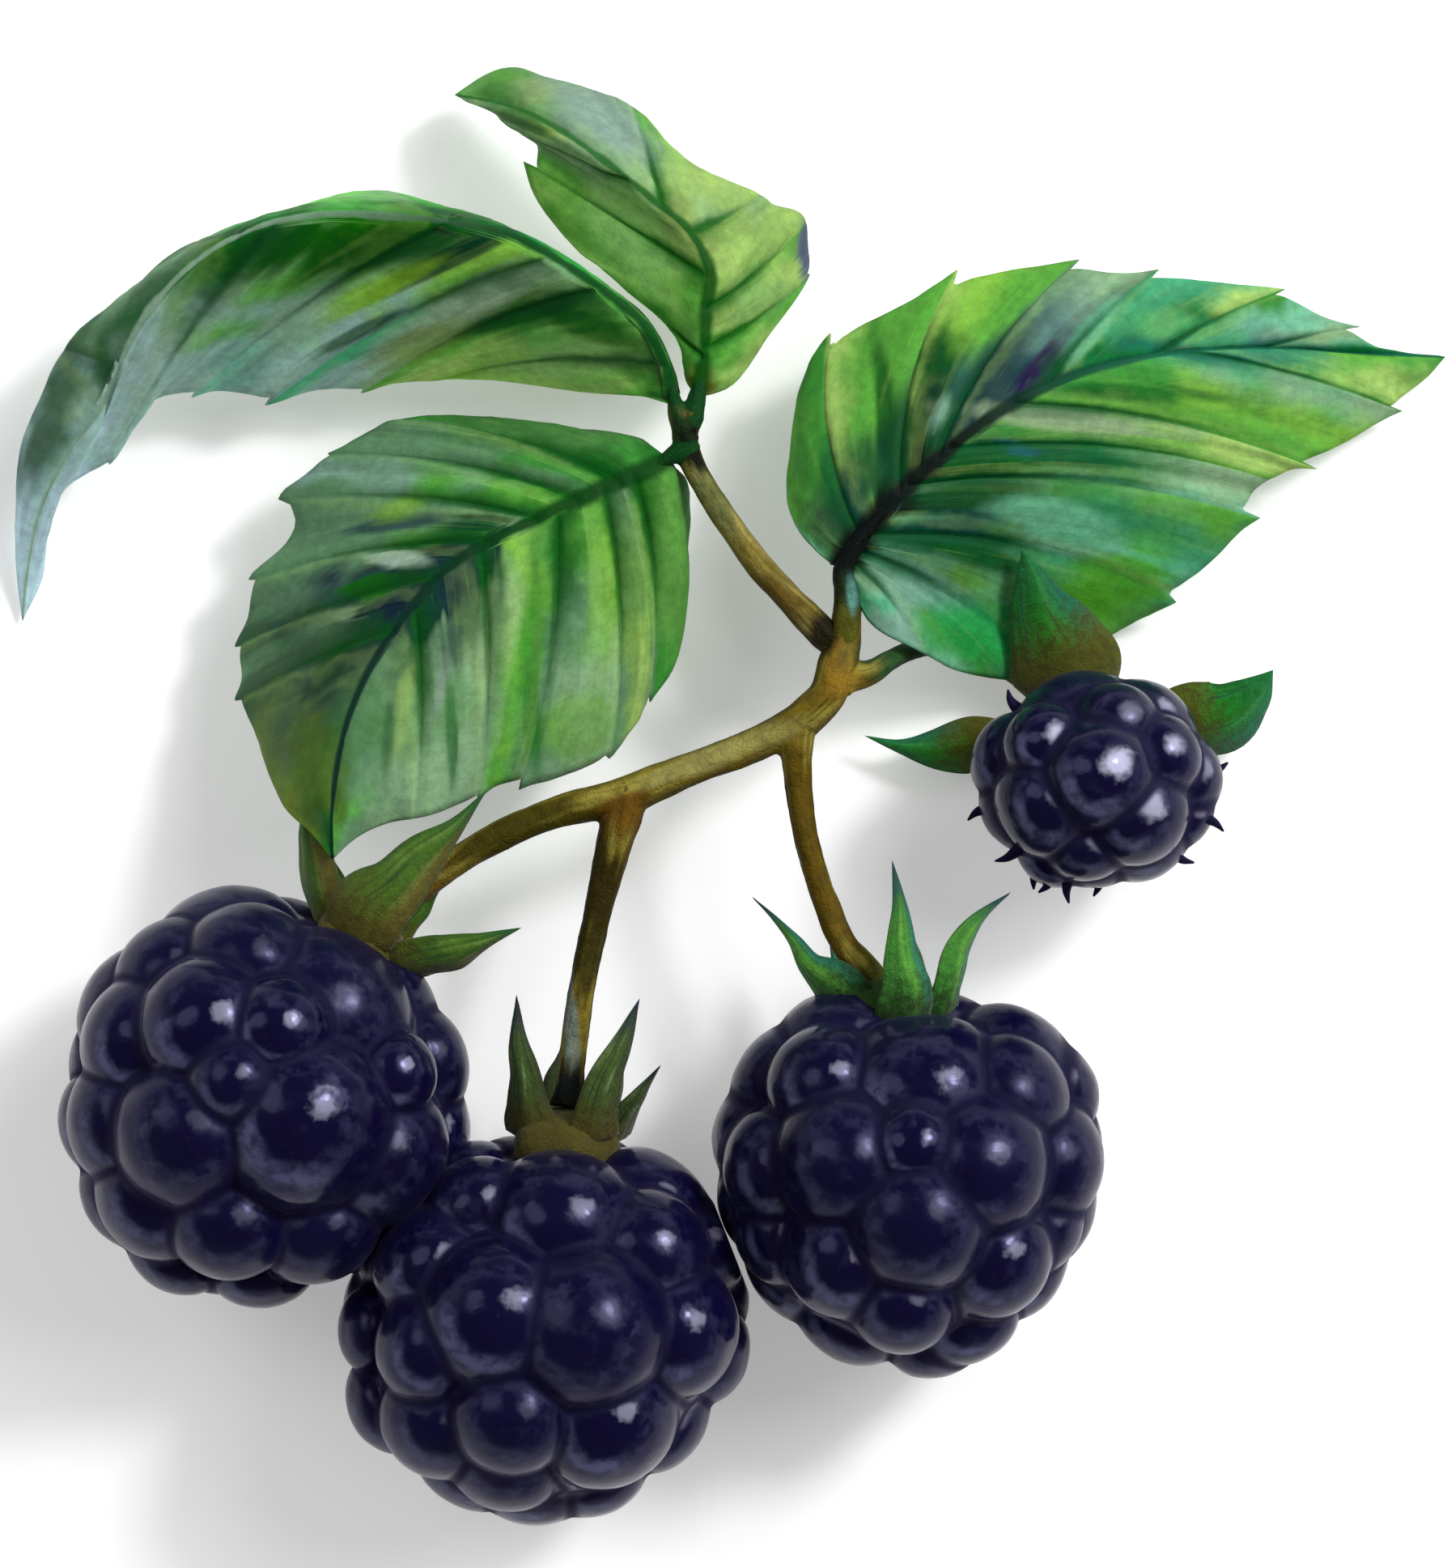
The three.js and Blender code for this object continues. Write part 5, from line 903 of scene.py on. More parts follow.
def leaf_blade(name, leaf, colours):
    """A leaf's blade, puffed up between its side veins, with values at its points for the colouring.

    rib: 0 at the midrib to 1 at the margin. along: 0 at the base to 1 at the tip. place: side veins are at
    whole numbers. vein and midrib: distances in millimetres. ahead: 1 on a side vein's tip side and -1 on its
    base side. side: 0 on the left half and 1 on the right. tint: the colour.
    """
    rib = Line(leaf["midrib"])
    halves = [leaf_rows(leaf, key, rib) for key in ("left", "right")]
    shares = [0.0]
    for mark in sorted({mark for _, _, marks, _ in halves for mark in marks}):
        if mark - shares[-1] < 0.0006 and mark < 1:
            continue
        start = shares[-1]
        longest = max((mark - start) * rib.length, *(float(run(mark) - run(start)) for *_, run in halves))
        parts = max(1, math.ceil(longest / LEAF_STEP))
        shares += [start + (mark - start) * k / parts for k in range(1, parts + 1)]
    u = np.array(shares)
    t = np.linspace(0, 1, LEAF_COLUMNS + 1)
    left = halves[0][0](u, t)[:, :0:-1]
    right = halves[1][0](u, t)
    grid = np.concatenate([left, right], axis=1)
    grid[0] = rib.at(0.0)
    grid[-1] = rib.at(1.0)
    reach = np.concatenate([t[:0:-1], t])[None, :] + 0 * u[:, None]
    side = np.sign(np.arange(2 * LEAF_COLUMNS + 1) - LEAF_COLUMNS)[None, :] / 2 + 0.5 + 0 * u[:, None]
    place, spacing, last_vein = np.zeros((3, *reach.shape))
    tint = np.zeros_like(grid)
    sides = ((left, slice(0, LEAF_COLUMNS), "left"), (right, slice(LEAF_COLUMNS, None), "right"))
    for (_, starts, *_), (part, columns, key) in zip(halves, sides):
        place[:, columns] = np.interp(u, starts, np.arange(len(starts)))[:, None]
        gap = np.diff(starts)[np.clip(np.searchsorted(starts, u, side="right") - 1, 0, len(starts) - 2)]
        speed = np.linalg.norm(np.gradient(part, u, axis=0), axis=2)
        spacing[:, columns] = np.minimum(speed * gap[:, None], WIDEST_PANEL)
        last_vein[:, columns] = len(starts) - 1.5
        tint[:, columns] = painted(colours[key], place[:, columns], reach[:, columns], grid[:, columns],
                                   colours["seed"])
    nearest = np.abs(place - np.round(place))
    vein = np.where((place > 0.5) & (place < last_vein), nearest * spacing, NO_VEIN)
    ahead = np.where(place > np.round(place), 1.0, -1.0)
    middle = np.linalg.norm(grid - grid[:, [LEAF_COLUMNS]], axis=2)
    fullness = smooth_share(middle[:, [0, -1]].max(axis=1)[:, None], 0.5, 4)
    between = np.sin(math.pi * np.clip(nearest * 2, 0, 1) / 2) ** 0.7
    puff = PUFF * between * np.sin(math.pi * np.clip(reach, 0, 1) ** 0.8) ** 0.6
    groove = VEIN_GROOVE * hump(vein, 0.28) * (1 - 0.7 * reach) + MIDRIB_GROOVE * hump(middle, 0.45)
    ripple = RIPPLE * smooth_share(reach, 0.45, 1) * np.sin(2 * math.pi * place + 1.2)
    lumps = np.array([[leaf_lump(p) for p in row] for row in grid])
    relief = (puff - groove + ripple + LUMPS * lumps) * fullness
    relief[[0, -1]] = 0
    thickness = BLADE * (1 - 0.62 * smooth_share(reach, 0.55, 1)) * (0.35 + 0.65 * fullness)
    ridge = MIDRIB_RIDGE * hump(middle, 0.5) + VEIN_RIDGE * hump(vein, 0.3) * (1 - reach)
    upper = thickness / 2 + relief
    lower = np.maximum(thickness / 2 - relief + ridge * fullness, 0.1 - upper)
    values = {
        "rib": reach,
        "along": u[:, None] + 0 * reach,
        "place": place,
        "vein": vein,
        "ahead": ahead,
        "midrib": middle,
        "side": side,
        "tint": tint,
    }
    return sheet_shell(name, grid, upper, lower, values)


SEPAL = 0.4  # mm thick, at its middle


def sepal_blade(name, points, hub, axis, seed):
    """A sepal: a pointed, cupped blade whose flat side faces the stalk's line."""
    line = Line(points)
    rows, columns = 34, 14
    u = np.linspace(0, 1, rows) ** 0.92
    centres = line.at(u)
    ways = line.along(u)
    outward = centres[:, :3] - hub
    outward = unit(outward - np.outer(outward @ axis, axis))
    outward[:, 2] += np.where(outward[:, 2] > -0.3, 1.2, -1.2)
    sides = np.cross(axis, outward)
    sides = unit(sides - ways * (sides * ways).sum(1)[:, None])
    cup = np.cross(ways, sides)
    across = np.linspace(-1, 1, columns + 1)
    width = np.maximum(centres[:, 3], 0.0)
    wobbles = [np.array([noise.noise(Vector((v * 4.5, seed * 3.7, edge))) for v in u]) for edge in (0, 9)]
    grid = np.zeros((rows, columns + 1, 3))
    for j, a in enumerate(across):
        spread = width * (1 + 0.16 * wobbles[int(a >= 0)]) * a
        bend = 0.3 * width * abs(a) ** 1.6
        grid[:, j] = centres[:, :3] + sides * spread[:, None] + cup * bend[:, None]
    grid[0] = centres[0, :3] - ways[0] * 0.25
    grid[-1] = line.at(1.0)[:3]
    reach = np.abs(across)[None, :] + 0 * u[:, None]
    width = width[:, None]
    fullness = smooth_share(width * (1 - u[:, None] ** 6), 0.05, 0.7)
    crease = -0.07 * hump(reach * width, 0.22)
    ribs = 0.035 * np.cos(reach * 15)
    thickness = (SEPAL - 0.24 * reach**2) * (0.3 + 0.7 * fullness)
    relief = (crease + ribs) * fullness
    values = {"along": u[:, None] + 0 * reach, "across": across[None, :] + 0 * reach, "rib": reach}
    return sheet_shell(name, grid, thickness / 2 - relief, thickness / 2 + relief, values)


def turned(name, profile, hub, axis, lobes):
    """A lathed disc on the calyx's axis, with its rim drawn out in five lobes."""
    side = unit(np.cross(axis, UP))
    over = np.cross(axis, side)
    segments = 60
    widest = max(radius for radius, _ in profile)
    points, faces = [hub + axis * profile[0][1]], []
    for radius, height in profile[1:-1]:
        for k in range(segments):
            turn = 2 * math.pi * k / segments
            drawn = radius * (1 + lobes * math.cos(5 * turn) * (radius / widest) ** 2)
            points.append(hub + axis * height + drawn * (side * math.cos(turn) + over * math.sin(turn)))
    points.append(hub + axis * profile[-1][1])
    rings = len(profile) - 2
    top = 1 + (rings - 1) * segments
    for k in range(segments):
        after = (k + 1) % segments
        faces.append((0, 1 + after, 1 + k))
        for a in range(1, top, segments):
            faces.append((a + k, a + after, a + segments + after, a + segments + k))
        faces.append((top + k, top + after, len(points) - 1))
    made = mesh_object(name, points, faces)
    bmesh_edit(made, lambda work: bmesh.ops.recalc_face_normals(work, faces=work.faces))
    return made


# --- nodes --------------------------------------------------------------------------------------------------


def linear(red, green, blue):
    """A colour from its 0 to 255 display values."""
    parts = []
    for value in (red, green, blue):
        value /= 255
        parts.append(value / 12.92 if value <= 0.04045 else ((value + 0.055) / 1.055) ** 2.4)
    return (*parts, 1.0)


class Wire:
    """A node's output. Arithmetic on it adds the node that does the sum."""

    def __init__(self, socket):
        self.socket = socket
        self.tree = socket.id_data

    def __add__(self, other):
        return maths("ADD", self, other)

    def __sub__(self, other):
        return maths("SUBTRACT", self, other)

    def __mul__(self, other):
        return maths("MULTIPLY", self, other)

    def __truediv__(self, other):
        return maths("DIVIDE", self, other)


def feed(socket, value):
    """Gives a node's input another node's output, or a plain value. A plain colour is in display values."""
    if isinstance(value, Wire):
        value.tree.links.new(value.socket, socket)
    else:
        socket.default_value = linear(*value) if socket.type == "RGBA" else value


def node(tree, kind, inputs=None, **settings):
    """Adds a node with its settings and inputs."""
    made = tree.nodes.new(kind)
    for key, value in settings.items():
        setattr(made, key, value)
    for key, value in (inputs or {}).items():
        feed(made.inputs[key], value)
    return made


def put(tree, kind, inputs=None, output=0, **settings):
    """Adds a node and returns one of its outputs."""
    return Wire(node(tree, kind, inputs, **settings).outputs[output])


def every_output(made):
    return {socket.name: Wire(socket) for socket in made.outputs}


def tree_of(*values):
    return next(value.tree for value in values if isinstance(value, Wire))


def maths(operation, *values):
    return put(tree_of(*values), "ShaderNodeMath", dict(enumerate(values)), operation=operation)


def vector_maths(operation, a, b, output="Vector"):
    return put(a.tree, "ShaderNodeVectorMath", {0: a, 1: b}, output, operation=operation)


def blend(mask, under, over, mode="MIX"):
    inputs = {0: mask, 6: under, 7: over}
    return put(tree_of(mask, under), "ShaderNodeMix", inputs, 2, data_type="RGBA", blend_type=mode)


def layered(colour, *layers):
    """Lays colours over a colour one after another, each by its own mask."""
    for mask, over in layers:
        colour = blend(mask, colour, over)
    return colour


def shaded(colour, shade):
    return blend(1.0, colour, combined(shade, shade, shade), "MULTIPLY")


def ramp(value, low, high, start=0.0, end=1.0):
    """0 below low and 1 above high, smoothly, or from start to end."""
    inputs = {"Value": value, "From Min": low, "From Max": high, "To Min": start, "To Max": end}
    return put(value.tree, "ShaderNodeMapRange", inputs, interpolation_type="SMOOTHSTEP")


def attribute(tree, name, output="Fac"):
    return put(tree, "ShaderNodeAttribute", output=output, attribute_name=name)


def object_place(tree):
    return put(tree, "ShaderNodeTexCoord", output="Object")


def combined(x, y, z=0.0):
    return put(x.tree, "ShaderNodeCombineXYZ", {0: x, 1: y, 2: z})


def separated(vector):
    return every_output(node(vector.tree, "ShaderNodeSeparateXYZ", {0: vector}))


def grain(place, scale, detail=2.0, roughness=0.5, distortion=0.0):
    inputs = {"Scale": scale, "Detail": detail, "Roughness": roughness, "Distortion": distortion}
    return put(place.tree, "ShaderNodeTexNoise", {"Vector": place, **inputs})


def cell_edges(place, scale, randomness=1.0):
    """The distance to the nearest edge between cells."""
    inputs = {"Vector": place, "Scale": scale, "Randomness": randomness}
    return put(place.tree, "ShaderNodeTexVoronoi", inputs, feature="DISTANCE_TO_EDGE")


def new_group(tree_kind, name, inputs, outputs):
    """A node group with named inputs (name, kind, value) and outputs (name, kind), and its two ends."""
    tree = bpy.data.node_groups.new(name, tree_kind)
    for label, kind, value in inputs:
        socket = tree.interface.new_socket(label, in_out="INPUT", socket_type="NodeSocket" + kind)
        if value is not None:
            socket.default_value = value
    for label, kind in outputs:
        tree.interface.new_socket(label, in_out="OUTPUT", socket_type="NodeSocket" + kind)
    given = every_output(tree.nodes.new("NodeGroupInput"))
    return tree, given, tree.nodes.new("NodeGroupOutput").inputs


def results(sockets, **values):
    """Feeds a group's outputs."""
    for label, value in values.items():
        feed(sockets[label], value)


def use(tree, group, inputs):
    """Puts one of the shader node groups in a material."""
    return every_output(node(tree, "ShaderNodeGroup", inputs, node_tree=GROUPS[group]))


# --- drupelets ----------------------------------------------------------------------------------------------

GOLDEN_ANGLE = math.pi * (3 - math.sqrt(5))
TRIED = 1600  # directions from a berry's centre in which a drupelet may go
CLEAR = math.cos(math.radians(19))  # none lies nearer to the stalk's direction
CLOSENESS = 0.66  # the distance between two drupelets, over the sum of their radii
HIDDEN = 1.35  # a drupelet's radius over the radius that shows


def reach_of(berry, ways):
    """How far a berry reaches from its centre in each direction."""
    turns = np.degrees(np.arctan2(ways[:, 1], ways[:, 0])) % 360
    side = np.interp(turns, np.arange(0, 361, 30), [*berry["outline"], berry["outline"][0]])
    return 1 / np.sqrt((ways[:, 0] ** 2 + ways[:, 1] ** 2) / side**2 + (ways[:, 2] / berry["radius"]) ** 2)


def drupelet_places(berry, axis):
    """Each drupelet's place from the berry's centre and its radius.

    The listed ones come first, then one that the berry rests on, then one after another in the widest gap.
    """
    radius = berry["radius"]
    smallest, largest = berry["filling"]
    places = []
    for x, y, shown in berry["listed"]:
        size = HIDDEN * shown
        far = math.hypot(x, y)
        side = reach_of(berry, np.array([[x / far, y / far, 0]]))[0] - shown
        share = min(far / side, 1)
        height = (radius - shown) * math.sqrt(1 - share * share)
        place = np.array([x * share * side / far, y * share * side / far, height])
        places.append((place * (1 - (size - shown) / np.linalg.norm(place)), size))
    if -axis[2] < CLEAR:
        places.append((np.array([0, 0, largest - radius]), largest))
    k = np.arange(TRIED)
    height = (2 * k + 1) / TRIED - 1
    flat = np.sqrt(1 - height**2)
    ways = np.stack([flat * np.cos(k * GOLDEN_ANGLE), flat * np.sin(k * GOLDEN_ANGLE), height], axis=1)
    ways = ways[ways @ axis < CLEAR]
    reach = reach_of(berry, ways)
    middles = ways * (reach - largest)[:, None]
    room = np.min([np.linalg.norm(middles - p, axis=1) / CLOSENESS - s for p, s in places], axis=0)
    while room.max() > smallest:
        widest = int(np.argmax(room))
        size = min(room[widest], largest)
        place = ways[widest] * (reach[widest] - size - 0.6 * (largest - size))
        places.append((place, size))
        room = np.minimum(room, np.linalg.norm(middles - place, axis=1) / CLOSENESS - size)
    return places


def drupelet_tree(material):
    """Geometry nodes that put a slightly uneven ball on each point, and flatten them on the surface below."""
    inputs = [
        ("Points", "Geometry", None),
        ("Fineness", "Int", 4),
        ("Unevenness", "Float", 0.05),
        ("Lump size", "Float", 0.0022),
        ("Surface", "Float", 0.0001),
    ]
    outputs = [("Drupelets", "Geometry")]
    tree, given, result = new_group("GeometryNodeTree", "drupelets on a berry", inputs, outputs)
    tree.is_modifier = True

    def step(kind, geometry, **settings):
        return put(tree, "GeometryNode" + kind, {"Geometry": geometry, **settings})

    def named(name, kind):
        return put(tree, "GeometryNodeInputNamedAttribute", {"Name": name}, data_type=kind)

    place = put(tree, "GeometryNodeInputPosition")
    size = named("size", "FLOAT")
    ball = put(tree, "GeometryNodeMeshIcoSphere", {"Radius": 1, "Subdivisions": given["Fineness"]})
    keeping = {"Geometry": ball, "Name": "from_middle", "Value": place}
    ball = put(tree, "GeometryNodeStoreNamedAttribute", keeping, data_type="FLOAT_VECTOR")
    spread = {"Points": given["Points"], "Instance": ball, "Scale": size}
    balls = step("RealizeInstances", put(tree, "GeometryNodeInstanceOnPoints", spread))
    lumps = grain(vector_maths("DIVIDE", place, given["Lump size"]), 1, 1)
    push = {0: named("from_middle", "FLOAT_VECTOR"), "Scale": (lumps - 0.5) * given["Unevenness"] * size}
    balls = step("SetPosition", balls, Offset=put(tree, "ShaderNodeVectorMath", push, operation="SCALE"))
    parts = separated(place)
    raised = combined(parts["X"], parts["Y"], maths("MAXIMUM", parts["Z"], given["Surface"]))
    balls = step("SetPosition", balls, Position=raised)
    results(result, Drupelets=step("SetMaterial", step("SetShadeSmooth", balls), Material=material))
    return tree


def run_tree(thing, tree, name, **values):
    """Runs a geometry nodes tree on an object and returns the plain mesh it makes."""
    step = thing.modifiers.new("made", "NODES")
    step.node_group = tree
    for item in tree.interface.items_tree:
        label = item.name.lower().replace(" ", "_")
        if item.item_type == "SOCKET" and item.in_out == "INPUT" and label in values:
            step[item.identifier] = values[label]
    return baked(thing, name)


def withered_styles(berry, centre):
    """Short dry threads that stick out of the fruit's side, each bent and pointed."""
    runs = []
    for k, turn in enumerate(berry["styles"]):
        way = np.array([math.cos(math.radians(turn)), math.sin(math.radians(turn)), 0.0])
        over = np.cross(UP, way) * (1 if k % 2 else -1)
        root = centre + way * (reach_of(berry, way[None])[0] - 1.0) + UP * (k % 3 - 1.0)
        length = 1.45 + 0.17 * (k % 3)
        middle = root + way * length * 0.6 + over * 0.1
        tip = root + way * length + over * 0.45
        runs.append([[*root, 0.45], [*middle, 0.26], [*tip, 0.06]])
    return tubes("styles", runs, 10, 0.15)


def to_outline(points, berry, centre, change):
    """Moves the points inside a berry's outline. change makes a new gap to it of the old one and a share."""
    away = points - centre
    far = np.linalg.norm(away, axis=1)
    ways = away / far[:, None]
    reach = reach_of(berry, ways)
    share = 0.52 + 0.28 * np.maximum(ways[:, 2], 0)
    return centre + ways * np.where(far < reach, reach - change(reach - far, share), far)[:, None]


def skinned(fruit, berry, centre, places, sizes, tones):
    """One skin over a berry's drupelets, with soft grooves. Its points know their place on their drupelet."""
    skin = one_skin(fruit, fruit.name, 0.21, 4, 0.5)
    at = to_outline(points_of(skin), berry, centre, np.divide)
    gaps = np.stack([np.linalg.norm(at - place, axis=1) - size for place, size in zip(places, sizes)])
    nearest = np.argmin(gaps, axis=0)
    give(skin, "from_middle", (at - places[nearest]) / np.array(sizes)[nearest][:, None])
    give(skin, "tone", tones[nearest])
    give(skin, "groove", np.sort(gaps, axis=0)[1] - gaps.min(axis=0))
    return skin


def berry_fruit(name, berry, axis, tree, dice):
    """A berry's drupelets, drawn out to its outline and pressed flat where it meets its neighbours."""
    centre = np.array(berry["centre"])
    places = drupelet_places(berry, axis)
    spots = np.array([centre + place for place, _ in places] + [centre])
    sizes = [size for _, size in places] + [0.82 * min(berry["outline"])]
    tones = dice.random(len(sizes))
    seeds = mesh_object(f"berry_{name} points", spots, [], {"size": np.array(sizes) * MM, "tone": tones})
    fruit = run_tree(seeds, tree, f"berry_{name}_fruit", fineness=4, unevenness=0.07)
    points = to_outline(points_of(fruit), berry, centre, np.multiply)
    points[:, 2] = np.maximum(points[:, 2], 0.1)
    for other in berry["touches"]:
        way = np.array(BERRIES[other]["centre"]) - centre
        past = (points - centre) @ unit(way) - (np.linalg.norm(way) / 2 + 0.3)
        points = points - np.outer(np.maximum(past, 0), unit(way))
    move_points(fruit, points)
    fruit = skinned(fruit, berry, centre, spots[:-1], sizes[:-1], tones)
    if "styles" in berry:
        styles = withered_styles(berry, centre)
        bmesh_edit(fruit, lambda work: work.from_mesh(styles.data))
        remove(styles)
    return fruit


# --- materials ----------------------------------------------------------------------------------------------


def wash_group():
    """A soft-edged patch of colour over another. Across and Up are its own axes over its half-lengths."""
    inputs = [
        ("Place", "Vector", None),
        ("Ragged", "Float", 0.5),
        ("Across", "Vector", (200, 0, 0)),
        ("Up", "Vector", (0, 200, 0)),
        ("Centre", "Vector", (0, 0, 0)),
        ("Strength", "Float", 1.0),
        ("Under", "Color", (0, 0, 0, 1)),
        ("Over", "Color", (1, 1, 1, 1)),
    ]
    tree, given, result = new_group("ShaderNodeTree", "wash", inputs, [("Colour", "Color")])
    x, y = [vector_maths("DOT_PRODUCT", given["Place"], given[axis], "Value") for axis in ("Across", "Up")]
    far = vector_maths("DISTANCE", combined(x, y), given["Centre"], "Value")
    mask = ramp(given["Ragged"] * 1.6 + far, 1.25, 2.0, given["Strength"], 0.0)
    results(result, Colour=blend(mask, given["Under"], given["Over"]))
    return tree


def streak_group():
    """Streaks that run along a stem or a sepal."""
    defaults = {"Across": 0.0, "Along": 0.0, "Count": 6.0, "Seed": 0.0}
    inputs = [(label, "Float", value) for label, value in defaults.items()]
    outputs = [("Broad", "Float"), ("Fine", "Float")]
    tree, given, result = new_group("ShaderNodeTree", "streaks", inputs, outputs)
    across = given["Across"] * given["Count"]
    results(
        result,
        Broad=grain(combined(across, given["Along"], given["Seed"]), 1.0, 1.5, 0.5, 0.3),
        Fine=grain(combined(across * 3.1, given["Along"], given["Seed"]), 1.3, 2.0, 0.6, 0.2),
    )
    return tree


def mottle_group():
    """Fine mottling of a plant's skin, as a mask and a height."""
    inputs = [("Place", "Vector", None), ("Scale", "Float", 1500.0)]
    outputs = [("Mask", "Float"), ("Height", "Float")]
    tree, given, result = new_group("ShaderNodeTree", "mottle", inputs, outputs)
    coarse = grain(given["Place"], given["Scale"], 4.0, 0.65)
    cells = cell_edges(given["Place"], given["Scale"] * 1.7)
    results(result, Mask=ramp(coarse, 0.3, 0.7), Height=ramp(cells, 0.0, 0.12) * 0.6 + coarse)
    return tree


def blade_group():
    """A leaf blade's veins, each a thin dark line with a painted soft shadow on its base side and a painted
    pale lit band on its tip side, and its streaks.
    """
    inputs = [("Vein width", "Float", 0.3), ("Midrib width", "Float", 0.5), ("Seed", "Float", 0.0)]
    masks = ("Vein", "Shadow", "Beside", "Midrib", "Net", "Streaks", "Fibres")
    outputs = [(label, "Float") for label in masks]
    tree, given, result = new_group("ShaderNodeTree", "blade veins", inputs, outputs)
    names = ("rib", "vein", "midrib", "along", "place", "side", "ahead")
    rib, vein, middle, along, place, side, ahead = [attribute(tree, name) for name in names]
    wavy = grain(object_place(tree), 420.0, 2.0, 0.6)
    width = given["Vein width"] * ramp(rib, 0.0, 1.0, 1.2, 0.35) * ramp(wavy, 0.25, 0.75, 0.6, 1.5)
    ratio = vein / width
    fade = ramp(rib + wavy * 0.5, 0.6, 1.15, 1.0, 0.1)
    behind = ramp(ahead, -0.1, 0.1, 1.0, 0.0)
    shadows = {0: behind, 2: ramp(ratio, 0.2, 2.0, 1.0, 0.0), 3: ramp(ratio, 0.2, 4.2, 1.0, 0.0)}
    shadow = put(tree, "ShaderNodeMix", shadows, data_type="FLOAT")
    # Painted light: a pale band a little way from each side vein, on its tip side.
    lit_side = ramp(ratio, 0.8, 2.2) * ramp(ratio, 2.4, 6.0, 1.0, 0.0)
    rib_width = given["Midrib width"] * (along * -1.25 + 1.5) * ramp(wavy, 0.25, 0.75, 0.75, 1.3)
    seed = given["Seed"] + side * 7.0
    net = cell_edges(combined(place * 3.5, rib * 9.0, seed), 1.6, 0.9)
    results(
        result,
        Vein=ramp(ratio, 0.15, 1.0, 1.0, 0.0) * fade,
        Shadow=shadow * ramp(rib, 0.15, 0.8, 1.0, 0.05),
        Beside=lit_side * maths("SUBTRACT", 1.0, behind),
        Midrib=ramp(middle / rib_width, 0.35, 1.15, 1.0, 0.0),
        Net=ramp(net, 0.0, 0.11, 1.0, 0.0),
        Streaks=grain(combined(place * 3.2, rib * 1.2, seed), 1.0, 2.0, 0.5, 0.4),
        Fibres=grain(combined(place * 7.0, rib * 1.6, seed), 1.3, 2.0, 0.5, 0.5),
    )
    return tree


GROUPS = {
    "wash": wash_group(),
    "streaks": streak_group(),
    "mottle": mottle_group(),
    "blade": blade_group(),
}


def painted(panels, place, reach, grid, seed):
    """The colour at each point of a leaf half, from its panels' words, with wavy edges between colours."""
    words = [panel.split() for panel in panels]
    tints = np.array([[[linear(*PALETTE[letter])[:3] for letter in word] for word in pair] for pair in words])
    points = grid.reshape(-1, 3)
    place, reach = place.ravel(), reach.ravel()
    wavy = np.array([noise.noise_vector(Vector(p * 0.3) + Vector((seed, 0, 0))) for p in points])
    fine = np.array([noise.noise_vector(Vector(p * 1.1) + Vector((0, seed, 0))) for p in points])
    panel = np.clip(place.astype(int), 0, len(panels) - 1)
    across = np.clip(place - panel + 0.32 * wavy[:, 0] + 0.14 * fine[:, 0], 0, 1) * 2
    column = np.clip(across.astype(int), 0, 1)
    over = smooth_share(across - column, 0, 1)[:, None]
    down = smooth_share(reach + 0.5 * wavy[:, 1] + 0.16 * fine[:, 1], 0.12, 0.82)[:, None]
    near, far = [tints[panel, k, column] * (1 - over) + tints[panel, k, column + 1] * over for k in (0, 1)]
    return (near * (1 - down) + far * down).reshape(grid.shape)


def washed(tree, colour, place, ragged, washes):
    """Patches of colour over a colour, one after another: (x, y, width, height, turn, strength, colour)."""
    for x, y, width, height, turn, strength, over in washes:
        cosine, sine = math.cos(math.radians(turn)), math.sin(math.radians(turn))
        inputs = {
            "Place": place,
            "Ragged": ragged,
            "Across": (cosine / width / MM, sine / width / MM, 0),
            "Up": (-sine / height / MM, cosine / height / MM, 0),
            "Centre": ((x * cosine + y * sine) / width, (y * cosine - x * sine) / height, 0),
            "Strength": strength,
            "Under": colour,
            "Over": over,
        }
        colour = use(tree, "wash", inputs)["Colour"]
    return colour


def new_material(name, display):
    material = bpy.data.materials.new(name)
    material.use_nodes = True
    material.diffuse_color = linear(*display)
    tree = material.node_tree
    tree.nodes.clear()
    shader = node(tree, "ShaderNodeBsdfPrincipled")
    node(tree, "ShaderNodeOutputMaterial", {0: Wire(shader.outputs[0])})
    return material, tree, shader.inputs


def dress(shader, height, strength, distance, looks):
    """Feeds a shader: its bumps, from a height over the surface, and the rest of its looks."""
    bump = {"Strength": strength, "Distance": distance, "Height": height}
    feed(shader["Normal"], put(height.tree, "ShaderNodeBump", bump))
    for label, value in looks.items():
        feed(shader[label], value)


def enriched(colour, value):
    return put(colour.tree, "ShaderNodeHueSaturation", {"Saturation": 1.05, "Value": value, "Color": colour})


